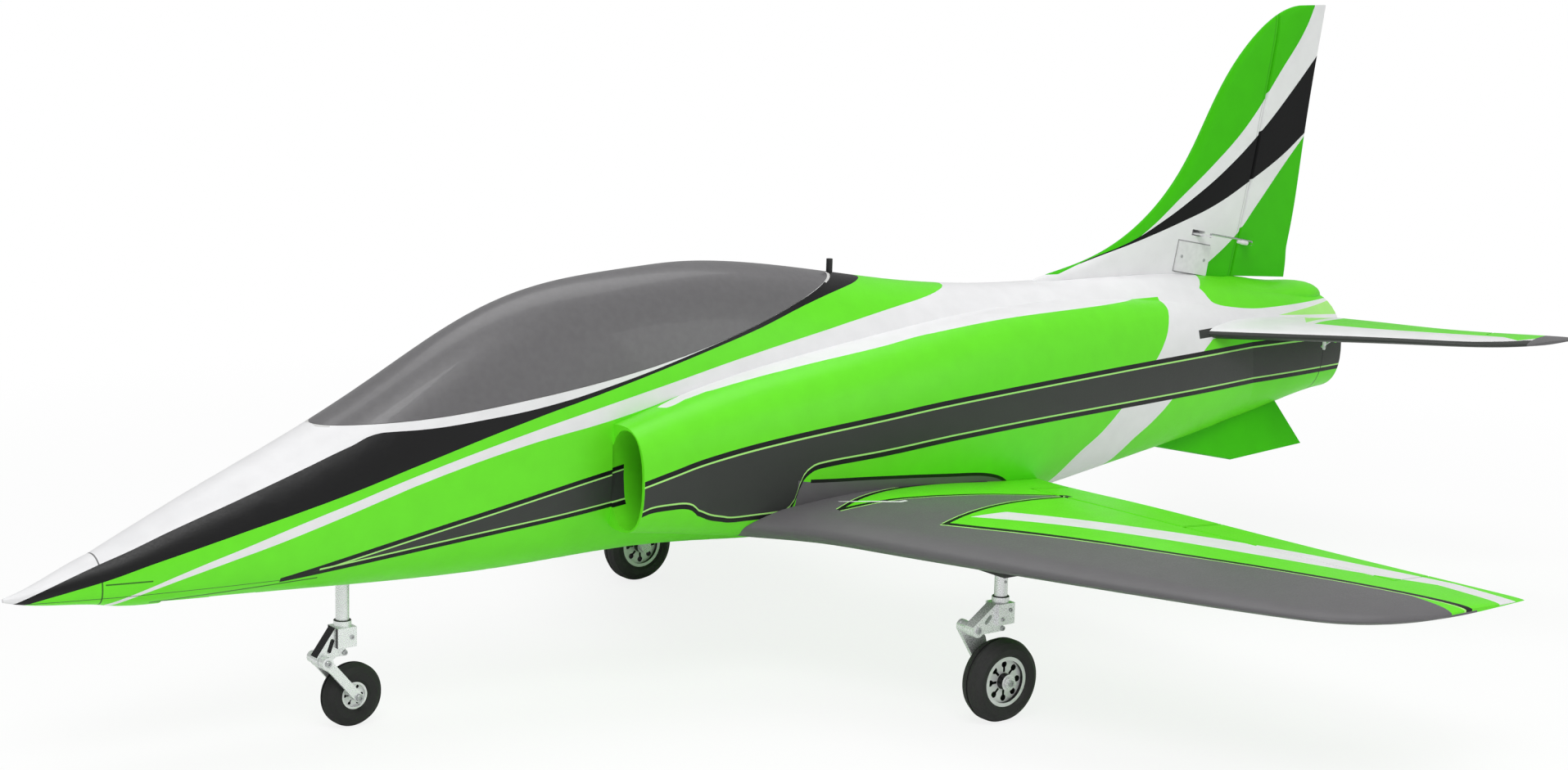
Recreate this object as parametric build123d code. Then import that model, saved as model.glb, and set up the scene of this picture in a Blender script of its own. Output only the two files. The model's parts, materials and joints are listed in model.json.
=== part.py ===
from build123d import *
from math import atan2, cos, degrees, hypot, pi, radians, sin, tan
import os

# Radio-control ducted-fan sport jet with trailing-link retractable gear.
# Every length is in millimetres. Stations run aft from the nose tip and
# heights run up from the ground; the finished pieces are then centred.

overall_length = 1264.0
thrust_line_height = 194.0
running_clearance = 0.05
moving_gap = 0.4
seat_clearance = 0.1

# ---- fuselage formers: station, belly, back, half width, height of widest line
formers = [
    (60, 113.0, 146.0, 17.0, 127.0),
    (111, 108.5, 169.4, 27.0, 134.0),
    (170, 107.0, 195.0, 36.0, 143.0),
    (217, 104.5, 215.7, 41.0, 152.0),
    (306, 100.5, 262.0, 47.0, 163.0),
    (411, 101.0, 298.0, 51.0, 174.0),
    (508, 99.5, 304.5, 54.0, 180.0),
    (646, 92.5, 288.7, 58.0, 185.0),
    (746, 99.0, 273.0, 58.0, 188.0),
    (847, 109.0, 266.0, 56.0, 190.0),
    (950, 117.0, 265.0, 51.0, 192.0),
    (1070, 134.0, 254.0, 45.0, 194.0),
    (1172, 153.0, 235.0, 41.0, 194.0),
]
upper_power = 2.1
lower_power = 2.6

# ---- intake cheeks: station, centre out, centre height, half width, half height
cheek_formers = [
    (427, 60.0, 165.5, 30.0, 38.0),
    (490, 56.0, 169.0, 37.0, 51.0),
    (560, 50.0, 170.5, 45.0, 63.0),
    (650, 47.0, 173.0, 48.0, 72.0),
    (760, 42.0, 179.0, 45.0, 75.0),
    (880, 33.0, 185.0, 39.0, 69.0),
    (1010, 18.0, 187.0, 36.0, 57.0),
    (1150, 0.0, 194.0, 36.0, 36.0),
]
cheek_power = 2.5
lip_wall = 2.6
lip_station = cheek_formers[0][0]

# ---- fan, duct and tail pipe
fan_bore_radius = 40.3
fan_wall = 2.2
fan_front = 800.0
fan_length = 50.0
rotor_station = 807.0
rotor_depth = 16.0
rotor_hub_radius = 17.0
blade_count = 12
blade_tip_gap = 0.5
blade_root_pitch = 52.0
blade_tip_pitch = 30.0
blade_chord = 17.0
blade_thickness = 1.4
stator_count = 5
motor_radius = 14.0
motor_length = 52.0
nozzle_radius = 36.0
nozzle_wall = 2.0
nozzle_length = 60.0
nozzle_end = 1174.0

# ---- canopy hatch
canopy_front = 217.0
canopy_back = 646.0
hatch_wall = 5.0
hatch_seam = 0.3
sill_points = [(canopy_front, 215.7), (260, 216.7), (300, 218.6), (344, 222.8), (428, 233.5),
               (508, 249.0), (559, 262.5), (600, 275.0), (canopy_back, 288.9)]
bay_front = 296.0
bay_back = 528.0
bay_half_width = 31.0
bay_floor = 142.0

# ---- battery and electronics
battery_size = (158.0, 46.0, 48.0)
battery_station = 402.0
tray_thickness = 3.0
strap_width = 20.0
strap_thickness = 1.5
controller_size = (36.0, 54.0, 16.0)
receiver_size = (38.0, 24.0, 12.0)
latch_station = 652.0
latch_travel = 6.0

# ---- wing: distance out, leading edge station, trailing edge station, thickness
wing_height = 124.0
wing_formers = [
    (44, 500, 805, 35.0),
    (80, 519, 806, 34.0),
    (112, 542, 808, 32.0),
    (161, 562, 815, 29.5),
    (264, 600, 824, 24.0),
    (380, 646, 834, 18.0),
    (452, 678, 842, 14.0),
    (486, 701, 846, 11.0),
    (507, 738, 848, 6.5),
    (513, 765, 847, 3.0),
]
wing_hinge_inner = (762.0, 100.0)
wing_hinge_outer = (800.0, 450.0)
flap_span = (112.0, 256.0)
aileron_span = (260.0, 440.0)
hinge_gap = 0.7
end_gap = 1.2
bevel_angle = 34.0
knuckle_radius = 1.5
knuckle_length = 9.0
spar_radius = 5.0
spar_station = 694.0
spar_half_length = 300.0

# ---- tailplane
tail_height = 218.7
tail_formers = [
    (24, 970, 1150, 15.0),
    (47, 998, 1160, 14.0),
    (102, 1062, 1186, 11.0),
    (172, 1136, 1232, 7.5),
    (203, 1170, 1260, 5.0),
    (217, 1204, 1263, 2.6),
]
tail_hinge_inner = (1118.0, 38.0)
tail_hinge_outer = (1205.0, 190.0)
elevator_span = (7.0, 158.0)
elevator_root = 47.0

# ---- fin: height, leading edge station, trailing edge station, thickness
fin_formers = [
    (244, 830, 1139, 12.0),
    (279, 911, 1142, 12.0),
    (299, 959, 1146, 12.0),
    (335, 1003, 1151, 12.0),
    (384, 1036, 1157, 10.5),
    (424, 1061, 1163, 9.0),
    (454, 1089, 1168, 7.5),
    (471, 1114, 1171, 5.5),
    (478.5, 1140, 1172, 2.6),
]
rudder_hinge_low = (1072.0, 250.0)
rudder_hinge_high = (1116.0, 474.0)
rudder_base_front = (1060.0, 256.2)
rudder_base_back = (1180.0, 245.4)

# ---- control linkages: servo arm and horn of equal length, so the rod stays parallel
arm_thickness = 1.6
arm_hub_radius = 4.0
arm_tip_radius = 2.4
servo_shaft_radius = 2.0
rod_radius = 0.8
horn_base_front = 4.5
horn_base_length = 11.0
servo_length = 23.0
servo_width = 22.0
servo_half_depth = 5.5
wing_rod_length = 48.0
wing_arm_length = 16.0
flap_servo_out = 200.0
aileron_servo_out = 330.0
tail_rod_length = 40.0
tail_arm_length = 13.0
elevator_servo_out = 68.0
rudder_rod_length = 48.5
rudder_arm_length = 20.0
rudder_arm_up = 34.3
rudder_servo_length = 37.0
rudder_servo_width = 25.0
rudder_servo_proud = 1.2

# ---- strakes
strake_outline = [(945, 131), (1106, 160), (1130, 111), (1048, 106)]
strake_half_spacing = 31.5
strake_thickness = 3.0
strake_splay = 22.0

# ---- nose gear
nose_pivot = (241.0, 138.0)
nose_knee = (224.0, 50.0)
nose_axle = (247.5, 22.5)
nose_wheel_radius = 22.5
nose_wheel_width = 15.0
nose_hub_radius = 9.6
nose_link_half_width = 3.2
leg_tube_radius = 4.7
clamp_wall = 2.6
collar_wall = 1.5
collar_height = 4.0
shock_radius = 2.4
slot_radius = 1.6
clamp_top = 72.0
clamp_bottom = 58.0
nose_well_half_width = 17.5
nose_steer_limit = 18.0
nose_well_clearance = 1.0
nose_well_top = 164.0

# ---- main gear
main_gear_out = 229.0
main_leg_station = 635.0
main_pivot_height = 116.0
main_knee = (612.0, 70.0)
main_axle = (637.0, 30.0)
main_wheel_radius = 30.0
main_wheel_width = 20.0
main_hub_radius = 18.0
main_clamp_top = 87.0
main_clamp_bottom = 72.0
main_well_top = 132.0

# ---- shared gear sizes
axle_radius = 2.0
knee_pin_radius = 2.0
link_thickness = 3.0
link_side_gap = 1.2
knee_lug_radius = 5.0
knee_lug_half_width = 4.5
knee_boss_radius = 4.2
hub_slot_count = 8
nose_hole_count = 6
trunnion_pin_radius = 2.5


def superellipse(half_width, up, down, power_up, power_down, count=20):
    """Points round a rounded section; up and down are its two half heights."""
    points = []
    for index in range(count):
        angle = 2 * pi * index / count
        c, s = cos(angle), sin(angle)
        power = power_up if s >= 0 else power_down
        reach = up if s >= 0 else down
        y = half_width * (1 if c >= 0 else -1) * abs(c) ** (2 / power)
        z = reach * (1 if s >= 0 else -1) * abs(s) ** (2 / power)
        points.append((y, z))
    return points


def cross_section(station, centre_out, centre_height, points):
    """A closed face across the fuselage at one station."""
    path = [Vector(station, centre_out + y, centre_height + z) for y, z in points]
    return Face(Wire(Edge.make_spline(path, periodic=True)))


def body_section(former, inset=0.0):
    station, belly, back, half_width, widest = former
    points = superellipse(half_width - inset, back - widest - inset, widest - belly - inset,
                          upper_power, lower_power)
    return cross_section(station, 0, widest, points)


def oval_section(station, out, height, half_width, half_height, power):
    return cross_section(station, out, height,
                         superellipse(half_width, half_height, half_height, power, power))


def block(x0, x1, y0, y1, z0, z1):
    return Pos((x0 + x1) / 2, (y0 + y1) / 2, (z0 + z1) / 2) * Box(x1 - x0, y1 - y0, z1 - z0)


def rod(start, end, radius):
    """A round bar between two points."""
    start, end = Vector(*start), Vector(*end)
    way = end - start
    return Plane(origin=start, z_dir=way) * Cylinder(
        radius, way.length, align=(Align.CENTER, Align.CENTER, Align.MIN))


def side_plate(points, y0, y1):
    """A plate cut to an outline in side view, running from y0 to y1."""
    outline = Polyline(*[(x, 0, z) for x, z in points], close=True)
    face = Face(Wire(outline.edges()))
    plate = extrude(face, amount=abs(y1 - y0), dir=(0, 1, 0))
    return Pos(0, min(y0, y1), 0) * plate


def bar_link(a, b, half_width, y0, y1):
    """A flat link with round ends between two pivots in side view."""
    angle = degrees(atan2(b[1] - a[1], b[0] - a[0]))
    span = hypot(b[0] - a[0], b[1] - a[1])
    body = Box(span, y1 - y0, 2 * half_width)
    body = Pos((a[0] + b[0]) / 2, (y0 + y1) / 2, (a[1] + b[1]) / 2) * Rot(0, -angle, 0) * body
    for point in (a, b):
        body += rod((point[0], y0, point[1]), (point[0], y1, point[1]), half_width)
    return body


def foil_points(chord, thickness):
    """Symmetric section: leading edge at 0, trailing edge at the chord."""
    shares = [(1.0, 0.05), (0.86, 0.30), (0.66, 0.68), (0.44, 0.96), (0.26, 0.98),
              (0.12, 0.78), (0.035, 0.46)]
    upper = [(share * chord, height * thickness / 2) for share, height in shares]
    lower = [(x, -z) for x, z in reversed(upper)]
    return upper, lower


def foil_face(to_space, chord, thickness):
    """A wing section; to_space turns section coordinates into a point in space."""
    upper, lower = foil_points(chord, thickness)
    curve = Edge.make_spline([to_space(x, z) for x, z in upper + [(0, 0)] + lower])
    tail = Edge.make_line(to_space(*lower[-1]), to_space(*upper[0]))
    return Face(Wire([curve, tail]))


def flat_surface(rows, height, side):
    """Wing or tailplane half; side is -1 for port and 1 for starboard."""
    faces = []
    for out, front, back, thickness in rows:
        def to_space(x, z, out=out, front=front):
            return Vector(front + x, side * out, height + z)
        faces.append(foil_face(to_space, back - front, thickness))
    return loft(faces)


def hinge_frame(inner, outer, height, side):
    """Plane on a wing hinge line: x aft, z up, y along the hinge line outboard."""
    way = Vector(outer[0] - inner[0], side * (outer[1] - inner[1]), 0).normalized()
    across = Vector(side * way.Y, -side * way.X, 0)
    return Plane(origin=(inner[0], side * inner[1], height), x_dir=across, z_dir=(0, 0, 1))


def hinge_wedge(frame, y0, y1, lead, depth, half_height, angle):
    """Prism aft of the hinge line with a front bevelled both ways to the line."""
    slope = half_height * tan(radians(angle))
    outline = [(lead, 0, 0), (lead + slope, 0, half_height), (depth, 0, half_height),
               (depth, 0, -half_height), (lead + slope, 0, -half_height)]
    face = Face(Wire(Polyline(*outline, close=True).edges()))
    prism = Pos(0, min(y0, y1), 0) * extrude(face, amount=abs(y1 - y0), dir=(0, 1, 0))
    return frame * prism


def hinge_cut(frame, y0, y1, depth, half_height):
    low, high = min(y0, y1), max(y0, y1)
    return frame * block(-hinge_gap, depth, low, high, -half_height, half_height)


def mirror_side(shape):
    return mirror(shape, about=Plane.XZ)


def spanwise(frame, x, z, y0, y1, radius):
    """A round bar along the hinge direction of a frame."""
    low, high = min(y0, y1), max(y0, y1)
    return frame * rod((x, low, z), (x, high, z), radius)


def knuckles(frame, y0, y1, grow):
    """Three hinge knuckles on the hinge line, or their recesses when grown."""
    group = []
    for share in (0.12, 0.5, 0.88):
        middle = y0 + share * (y1 - y0)
        half = knuckle_length / 2 + (end_gap if grow else 0)
        group.append(spanwise(frame, 0, 0, middle - half, middle + half, knuckle_radius + grow))
    return group


def across_plate(frame, points, y0, y1):
    """A plate at right angles to a hinge, from an outline in its x and z."""
    return frame * side_plate(points, min(y0, y1), max(y0, y1))


def linkage(frame, y, way, rod_length, arm_length, skin_depth):
    """Horn, servo arm and pushrod in one plane across a hinge.

    way is the direction along the hinge in which the servo lies. The arm and the horn hang
    the same distance off lines a rod length apart, so the four pivots stay a parallelogram.
    """
    half = arm_thickness / 2
    hole = rod_radius + moving_gap
    horn = across_plate(frame, [(horn_base_front, 1.0 - skin_depth),
                                (horn_base_front + horn_base_length, 1.0 - skin_depth),
                                (arm_tip_radius, 0.6 - arm_length), (-arm_tip_radius, 0.6 - arm_length)],
                        y - half, y + half)
    horn = horn + spanwise(frame, 0, -arm_length, y - half, y + half, arm_tip_radius)
    horn = horn - spanwise(frame, 0, -arm_length, y - 5, y + 5, hole)
    arm = across_plate(frame, [(-rod_length - arm_hub_radius, 0), (-rod_length + arm_hub_radius, 0),
                               (-rod_length + arm_tip_radius, -arm_length),
                               (-rod_length - arm_tip_radius, -arm_length)], y - half, y + half)
    arm = arm + spanwise(frame, -rod_length, 0, y - half, y + half, arm_hub_radius)
    arm = arm + spanwise(frame, -rod_length, -arm_length, y - half, y + half, arm_tip_radius)
    arm = arm - spanwise(frame, -rod_length, -arm_length, y - 5, y + 5, rod_radius + running_clearance)
    shaft_end = y + way * (half + 8)
    arm = arm + spanwise(frame, -rod_length, 0, y, shaft_end, servo_shaft_radius)
    beside = y - way * (half + moving_gap + rod_radius)
    tip = y + way * (half + moving_gap)
    pushrod = frame * rod((-rod_length, beside, -arm_length), (0, beside, -arm_length), rod_radius)
    for x in (-rod_length, 0):
        pushrod = pushrod + spanwise(frame, x, -arm_length, beside, tip, rod_radius)
        pushrod = pushrod + frame * (Pos(x, beside, -arm_length) * Sphere(rod_radius))
    return horn, arm, pushrod


def arm_slot(frame, y, way, rod_length, arm_length, sweep):
    """Room for a servo arm, its shaft and the pushrod's end to swing in."""
    half = arm_thickness / 2
    reach = arm_length * sin(radians(sweep)) + arm_tip_radius + 3.0
    hub = arm_hub_radius + 1.4
    near = y - way * (half + 2 * rod_radius + 2 * moving_gap)
    far = y + way * (half + 2 * moving_gap)
    slot = across_plate(frame, [(-rod_length - hub, hub), (-rod_length + hub, hub), (-rod_length + hub, -1),
                                (-rod_length + reach, -arm_length), (-rod_length - reach, -arm_length),
                                (-rod_length - hub, -1)], near, far)
    return slot + spanwise(frame, -rod_length, 0, y, y + way * (half + 8.5), servo_shaft_radius
                           + running_clearance)


def servo_body(frame, y, way, rod_length, up, down):
    """A servo lying on its side next to its arm, trimmed to the skin by the caller."""
    near = y + way * (arm_thickness / 2 + 3 * moving_gap)
    far = near + way * servo_width
    low, high = min(near, far), max(near, far)
    return frame * block(-rod_length - servo_length + 6, -rod_length + 6, low, high, -down, up)


pieces = {}


def side_name(side):
    return "port" if side < 0 else "starboard"


# ======================================================================
# Fuselage outer form
# ======================================================================
body_loft = loft([body_section(former) for former in formers])
cheek_faces = [oval_section(s, -out, height, half_width, half_height, cheek_power)
               for s, out, height, half_width, half_height in cheek_formers]
cheek_port = loft(cheek_faces)
cheek_starboard = mirror_side(cheek_port)

pod_rows = [(960, 240.0, 10.0, 14.0), (1040, 240.0, 19.0, 14.0), (1110, 237.0, 23.0, 12.0),
            (1150, 235.0, 21.0, 10.5), (1170, 233.5, 15.0, 8.0), (1179, 232.5, 4.0, 2.0)]
tail_pod = loft([oval_section(s, 0, height, half_width, half_height, 2.0)
                 for s, height, half_width, half_height in pod_rows])
pod_keep_out = rod((nozzle_end - 2, 0, thrust_line_height), (1200, 0, thrust_line_height),
                   nozzle_radius + 0.5)
tail_pod = tail_pod - pod_keep_out

# sill surface: everything above the sill line between the canopy's two ends
sill_curve = Edge.make_spline([Vector(x, 0, z) for x, z in sill_points])
sill_start, sill_end = sill_points[0], sill_points[-1]


def above_sill(lift, front_trim, back_trim):
    lifted = sill_curve.moved(Location((0, 0, lift)))
    top = 340.0
    edges = [lifted,
             Edge.make_line(Vector(sill_end[0], 0, sill_end[1] + lift), Vector(sill_end[0], 0, top)),
             Edge.make_line(Vector(sill_end[0], 0, top), Vector(sill_start[0], 0, top)),
             Edge.make_line(Vector(sill_start[0], 0, top), Vector(sill_start[0], 0, sill_start[1] + lift))]
    region = extrude(Face(Wire(edges)), amount=180, dir=(0, 1, 0))
    region = Pos(0, -90, 0) * region
    return region & block(sill_start[0] + front_trim, sill_end[0] - back_trim, -95, 95, 150, 345)


canopy_outer = body_loft & above_sill(hatch_seam, 0.0, 0.0)
inner_rows = [former for former in formers if canopy_front - 1 < former[0] < canopy_back + 1]
inner_loft = loft([body_section(former, hatch_wall) for former in inner_rows])
canopy_hatch = canopy_outer - (inner_loft & block(canopy_front + 30, canopy_back - 40, -90, 90, 100, 340))
pieces["canopy_hatch"] = canopy_hatch

outer_form = body_loft - above_sill(0.0, 0.0, 0.0)
outer_form = outer_form + cheek_port + cheek_starboard + tail_pod

# ======================================================================
# Wings, tail and fin
# ======================================================================
surface_frames = {}
wings = {}
servos = []
wing_linkages = {"flap": (flap_servo_out, 30.0, 5.4), "aileron": (aileron_servo_out, 22.0, 4.2)}
for side in (-1, 1):
    name = side_name(side)
    wing = flat_surface(wing_formers, wing_height, side)
    frame = hinge_frame(wing_hinge_inner, wing_hinge_outer, wing_height, side)
    start = wing_hinge_inner[1]
    along = hypot(wing_hinge_outer[0] - wing_hinge_inner[0], wing_hinge_outer[1] - wing_hinge_inner[1])
    stretch = along / (wing_hinge_outer[1] - wing_hinge_inner[1])
    whole = wing
    for label, span in (("flap", flap_span), ("aileron", aileron_span)):
        y0 = side * (span[0] - start) * stretch
        y1 = side * (span[1] - start) * stretch
        wedge = hinge_wedge(frame, y0, y1, 0.0, 120, 30, bevel_angle)
        surface = whole & wedge
        margin = side * end_gap
        wing = wing - hinge_cut(frame, y0 - margin, y1 + margin, 120, 30)
        for knuckle in knuckles(frame, y0, y1, 0):
            surface = surface + knuckle
        for recess in knuckles(frame, y0, y1, running_clearance):
            wing = wing - recess
        servo_out, sweep, skin_depth = wing_linkages[label]
        y = side * (servo_out - start) * stretch
        horn, arm, pushrod = linkage(frame, y, side, wing_rod_length, wing_arm_length, skin_depth)
        pieces[label + "_" + name] = surface + horn
        pieces[label + "_arm_" + name] = arm
        pieces[label + "_pushrod_" + name] = pushrod
        slot = arm_slot(frame, y, side, wing_rod_length, wing_arm_length, sweep)
        servo = servo_body(frame, y, side, wing_rod_length, servo_half_depth, 30)
        servos.append((servo & whole) - slot)
        wing = wing - servo - slot
    wing = wing - outer_form
    wings[name] = wing
pieces["wing_servos"] = Compound(children=[one.solids()[0] for one in servos])

tails = {}
tail_servos = []
for side in (-1, 1):
    name = side_name(side)
    whole = flat_surface(tail_formers, tail_height, side)
    frame = hinge_frame(tail_hinge_inner, tail_hinge_outer, tail_height, side)
    y0, y1 = side * elevator_span[0], side * elevator_span[1]
    wedge = hinge_wedge(frame, y0, y1, 0.0, 80, 20, bevel_angle)
    beside_body = block(1000, 1300, -elevator_root, elevator_root, 150, 300)
    surface = (whole & wedge) - beside_body
    margin = side * end_gap
    tail = whole - hinge_cut(frame, y0 - side * 60, y1 + margin, 90, 20)
    inset = side * (elevator_root - tail_hinge_inner[1]) * 1.2
    for knuckle in knuckles(frame, inset, y1, 0):
        surface = surface + knuckle
    for recess in knuckles(frame, inset, y1, running_clearance):
        tail = tail - recess
    run = hypot(tail_hinge_outer[0] - tail_hinge_inner[0], tail_hinge_outer[1] - tail_hinge_inner[1])
    stretch = run / (tail_hinge_outer[1] - tail_hinge_inner[1])
    y = side * (elevator_servo_out - tail_hinge_inner[1]) * stretch
    horn, arm, pushrod = linkage(frame, y, side, tail_rod_length, tail_arm_length, 3.6)
    pieces["elevator_" + name] = surface + horn
    pieces["elevator_arm_" + name] = arm
    pieces["elevator_pushrod_" + name] = pushrod
    slot = arm_slot(frame, y, side, tail_rod_length, tail_arm_length, 22.0)
    servo = servo_body(frame, y, side, tail_rod_length, 3.5, 20)
    tail_servos.append((servo & whole) - slot)
    tails[name] = tail - servo - slot - outer_form

fin_faces = []
for height, front, back, thickness in fin_formers:
    def fin_space(x, z, height=height, front=front):
        return Vector(front + x, z, height)
    fin_faces.append(foil_face(fin_space, back - front, thickness))
fin_whole = loft(fin_faces)
rudder_way = Vector(rudder_hinge_high[0] - rudder_hinge_low[0], 0,
                    rudder_hinge_high[1] - rudder_hinge_low[1]).normalized()
rudder_frame = Plane(origin=(rudder_hinge_low[0], 0, rudder_hinge_low[1]),
                     x_dir=(rudder_way.Z, 0, -rudder_way.X), z_dir=(0, 1, 0))
rudder_base_cut = side_plate([rudder_base_front, rudder_base_back, (rudder_base_back[0], 0),
                              (rudder_base_front[0] - 60, 0), (rudder_base_front[0] - 60, rudder_base_front[1])],
                             -40, 40)
rudder_wedge = hinge_wedge(rudder_frame, -320, 60, 0.0, 140, 20, bevel_angle)
rudder = (fin_whole & rudder_wedge) - rudder_base_cut
fin = fin_whole - hinge_cut(rudder_frame, -320, 60, 140, 20)
rudder_reach = -hypot(rudder_hinge_high[0] - rudder_hinge_low[0], rudder_hinge_high[1] - rudder_hinge_low[1])
for knuckle in knuckles(rudder_frame, 0.04 * rudder_reach, 0.98 * rudder_reach, 0):
    rudder = rudder + knuckle
for recess in knuckles(rudder_frame, 0.04 * rudder_reach, 0.98 * rudder_reach, running_clearance):
    fin = fin - recess
horn, arm, pushrod = linkage(rudder_frame, -rudder_arm_up, 1, rudder_rod_length, rudder_arm_length, 3.4)
pieces["rudder"] = rudder + horn
pieces["rudder_arm"] = arm
pieces["rudder_pushrod"] = pushrod
rudder_slot = arm_slot(rudder_frame, -rudder_arm_up, 1, rudder_rod_length, rudder_arm_length, 25.0)
servo_top = -rudder_arm_up + arm_thickness / 2 + 7.0
rudder_servo_x = 6.0 - rudder_rod_length - rudder_servo_length / 2 + 10.0
rudder_servo = rudder_frame * block(
    rudder_servo_x - rudder_servo_length / 2, rudder_servo_x + rudder_servo_length / 2, servo_top,
    servo_top + rudder_servo_width, -fin_formers[0][3] / 2 - rudder_servo_proud, 3.0)
pieces["rudder_servo"] = (rudder_servo - rudder_slot) - outer_form
pieces["fin"] = fin - rudder_servo - rudder_slot - outer_form
pieces["tail_servos"] = Compound(children=[one.solids()[0] for one in tail_servos])

# ======================================================================
# Strakes under the tail
# ======================================================================
strakes = []
for side in (-1, 1):
    plate = side_plate([(x, z) for x, z in strake_outline], -strake_thickness / 2, strake_thickness / 2)
    pivot_height = strake_outline[0][1]
    plate = Pos(0, side * strake_half_spacing, pivot_height) * Rot(side * strake_splay, 0, 0) * Pos(
        0, 0, -pivot_height) * plate
    strakes.append(plate - outer_form)
pieces["ventral_strakes"] = Compound(children=[s.solids()[-1] if len(s.solids()) > 1 else s.solids()[0]
                                               for s in strakes])

# ======================================================================
# Nose cone
# ======================================================================
nose_rows = [(0.0, 121.5, 124.0, 1.3, 122.7), (12, 118.6, 127.4, 4.6, 122.9),
             (32, 116.0, 135.2, 10.0, 124.2), (60, 113.0, 146.0, 17.0, 127.0)]
pieces["nose_cone"] = loft([body_section(row) for row in nose_rows])

# ======================================================================
# Fuselage hollows
# ======================================================================
duct_rows = [(lip_station - 1, cheek_formers[0][1] + 7.5, cheek_formers[0][2],
              cheek_formers[0][3] - lip_wall - 7.5, cheek_formers[0][4] - lip_wall),
             (500, 66.0, 170.0, 22.0, 37.0), (600, 54.0, 178.0, 26.0, 38.0),
             (700, 30.0, 187.0, 29.0, 39.0), (fan_front + 0.5, 0.0, thrust_line_height, 40.0, 40.0)]
duct_port = loft([oval_section(s, -out, height, half_width, half_height, 2.3)
                  for s, out, height, half_width, half_height in duct_rows])
duct_starboard = mirror_side(duct_port)
fan_seat_radius = fan_bore_radius + fan_wall
fan_seat = rod((fan_front, 0, thrust_line_height), (fan_front + fan_length, 0, thrust_line_height),
               fan_seat_radius + seat_clearance)
nozzle_start = nozzle_end - nozzle_length
pipe_length = nozzle_start - fan_front - fan_length
tail_pipe = Plane(origin=(fan_front + fan_length, 0, thrust_line_height), z_dir=(1, 0, 0)) * Cone(
    fan_bore_radius, nozzle_radius, pipe_length, align=(Align.CENTER, Align.CENTER, Align.MIN))
nozzle_seat = rod((nozzle_start, 0, thrust_line_height), (nozzle_end + 20, 0, thrust_line_height),
                  nozzle_radius + nozzle_wall)
bay = block(bay_front, bay_back, -bay_half_width, bay_half_width, bay_floor, 330)
nose_unit_box = (nose_pivot[0] - 12, nose_pivot[0] + 52, -14.0, 14.0, nose_pivot[1] - 13, nose_pivot[1] + 15)
wheel_station = nose_pivot[0] - (nose_pivot[1] - nose_axle[1])
well_back = nose_pivot[0] - (nose_pivot[1] - nose_knee[1]) + 16
wheel_height = nose_pivot[1] + nose_pivot[0] - nose_axle[0]
well_radius = nose_wheel_radius + 4
nose_link_out = nose_wheel_width / 2 + link_side_gap + link_thickness
# The link's knee bosses swing furthest to the side when the folded leg is also steered.
knee_reach = ((nose_pivot[0] - nose_knee[0] + knee_boss_radius) * sin(radians(nose_steer_limit))
              + nose_link_out * cos(radians(nose_steer_limit)))
knee_well_half_width = knee_reach + nose_well_clearance
nose_well = rod((wheel_station + 1, -nose_well_half_width, wheel_height),
                (wheel_station + 1, nose_well_half_width, wheel_height), well_radius)
nose_well = nose_well + block(wheel_station + 1 - well_radius, wheel_station + 1 + well_radius,
                              -nose_well_half_width, nose_well_half_width, 60, wheel_height)
nose_well = nose_well + block(wheel_station + 8, well_back, -knee_well_half_width, knee_well_half_width,
                              60, nose_well_top)
nose_slot = block(well_back - 1, nose_pivot[0] + 9, -14.0, 14.0, 60, nose_pivot[1] + 14)
unit_pocket = block(*nose_unit_box[:4], nose_unit_box[4], nose_unit_box[5])
latch_slot = block(latch_station - 6, latch_station + 6 + latch_travel, -3.4, 3.4, 276, 320)
spar_hole = rod((spar_station, -spar_half_length, wing_height), (spar_station, spar_half_length, wing_height),
                spar_radius)
fuselage = outer_form
for hollow in (duct_port, duct_starboard, fan_seat, tail_pipe, nozzle_seat, bay, nose_well, nose_slot,
               unit_pocket, latch_slot, spar_hole):
    fuselage = fuselage - hollow
pieces["fuselage"] = fuselage

# ======================================================================
# Fan unit, motor and exhaust nozzle
# ======================================================================
def on_axis(station):
    return Plane(origin=(station, 0, thrust_line_height), x_dir=(0, 1, 0), z_dir=(1, 0, 0))


def disc(station, radius, depth):
    return on_axis(station) * Cylinder(radius, depth, align=(Align.CENTER, Align.CENTER, Align.MIN))


stator_station = rotor_station + rotor_depth + 3
stator_depth = fan_front + fan_length - stator_station - 1
housing = disc(fan_front, fan_seat_radius, fan_length) - disc(fan_front - 1, fan_bore_radius, fan_length + 2)
motor_can = disc(stator_station, motor_radius + 3, stator_depth)
for index in range(stator_count):
    vane = Rot(0, 0, 360 * index / stator_count) * (
        Pos((motor_radius + fan_bore_radius) / 2 + 1, 0, stator_depth / 2) * Box(
            fan_bore_radius - motor_radius + 1, 2.0, stator_depth))
    motor_can = motor_can + on_axis(stator_station) * vane
housing = housing + (motor_can & disc(fan_front, fan_seat_radius - 0.5, fan_length))
housing = housing - disc(stator_station - 1, motor_radius, stator_depth + 2)
pieces["fan_housing"] = housing
pieces["fan_motor"] = disc(stator_station + 1, motor_radius, motor_length) - disc(
    stator_station + 1 + motor_length - 4, motor_radius - 6, 5)

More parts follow.
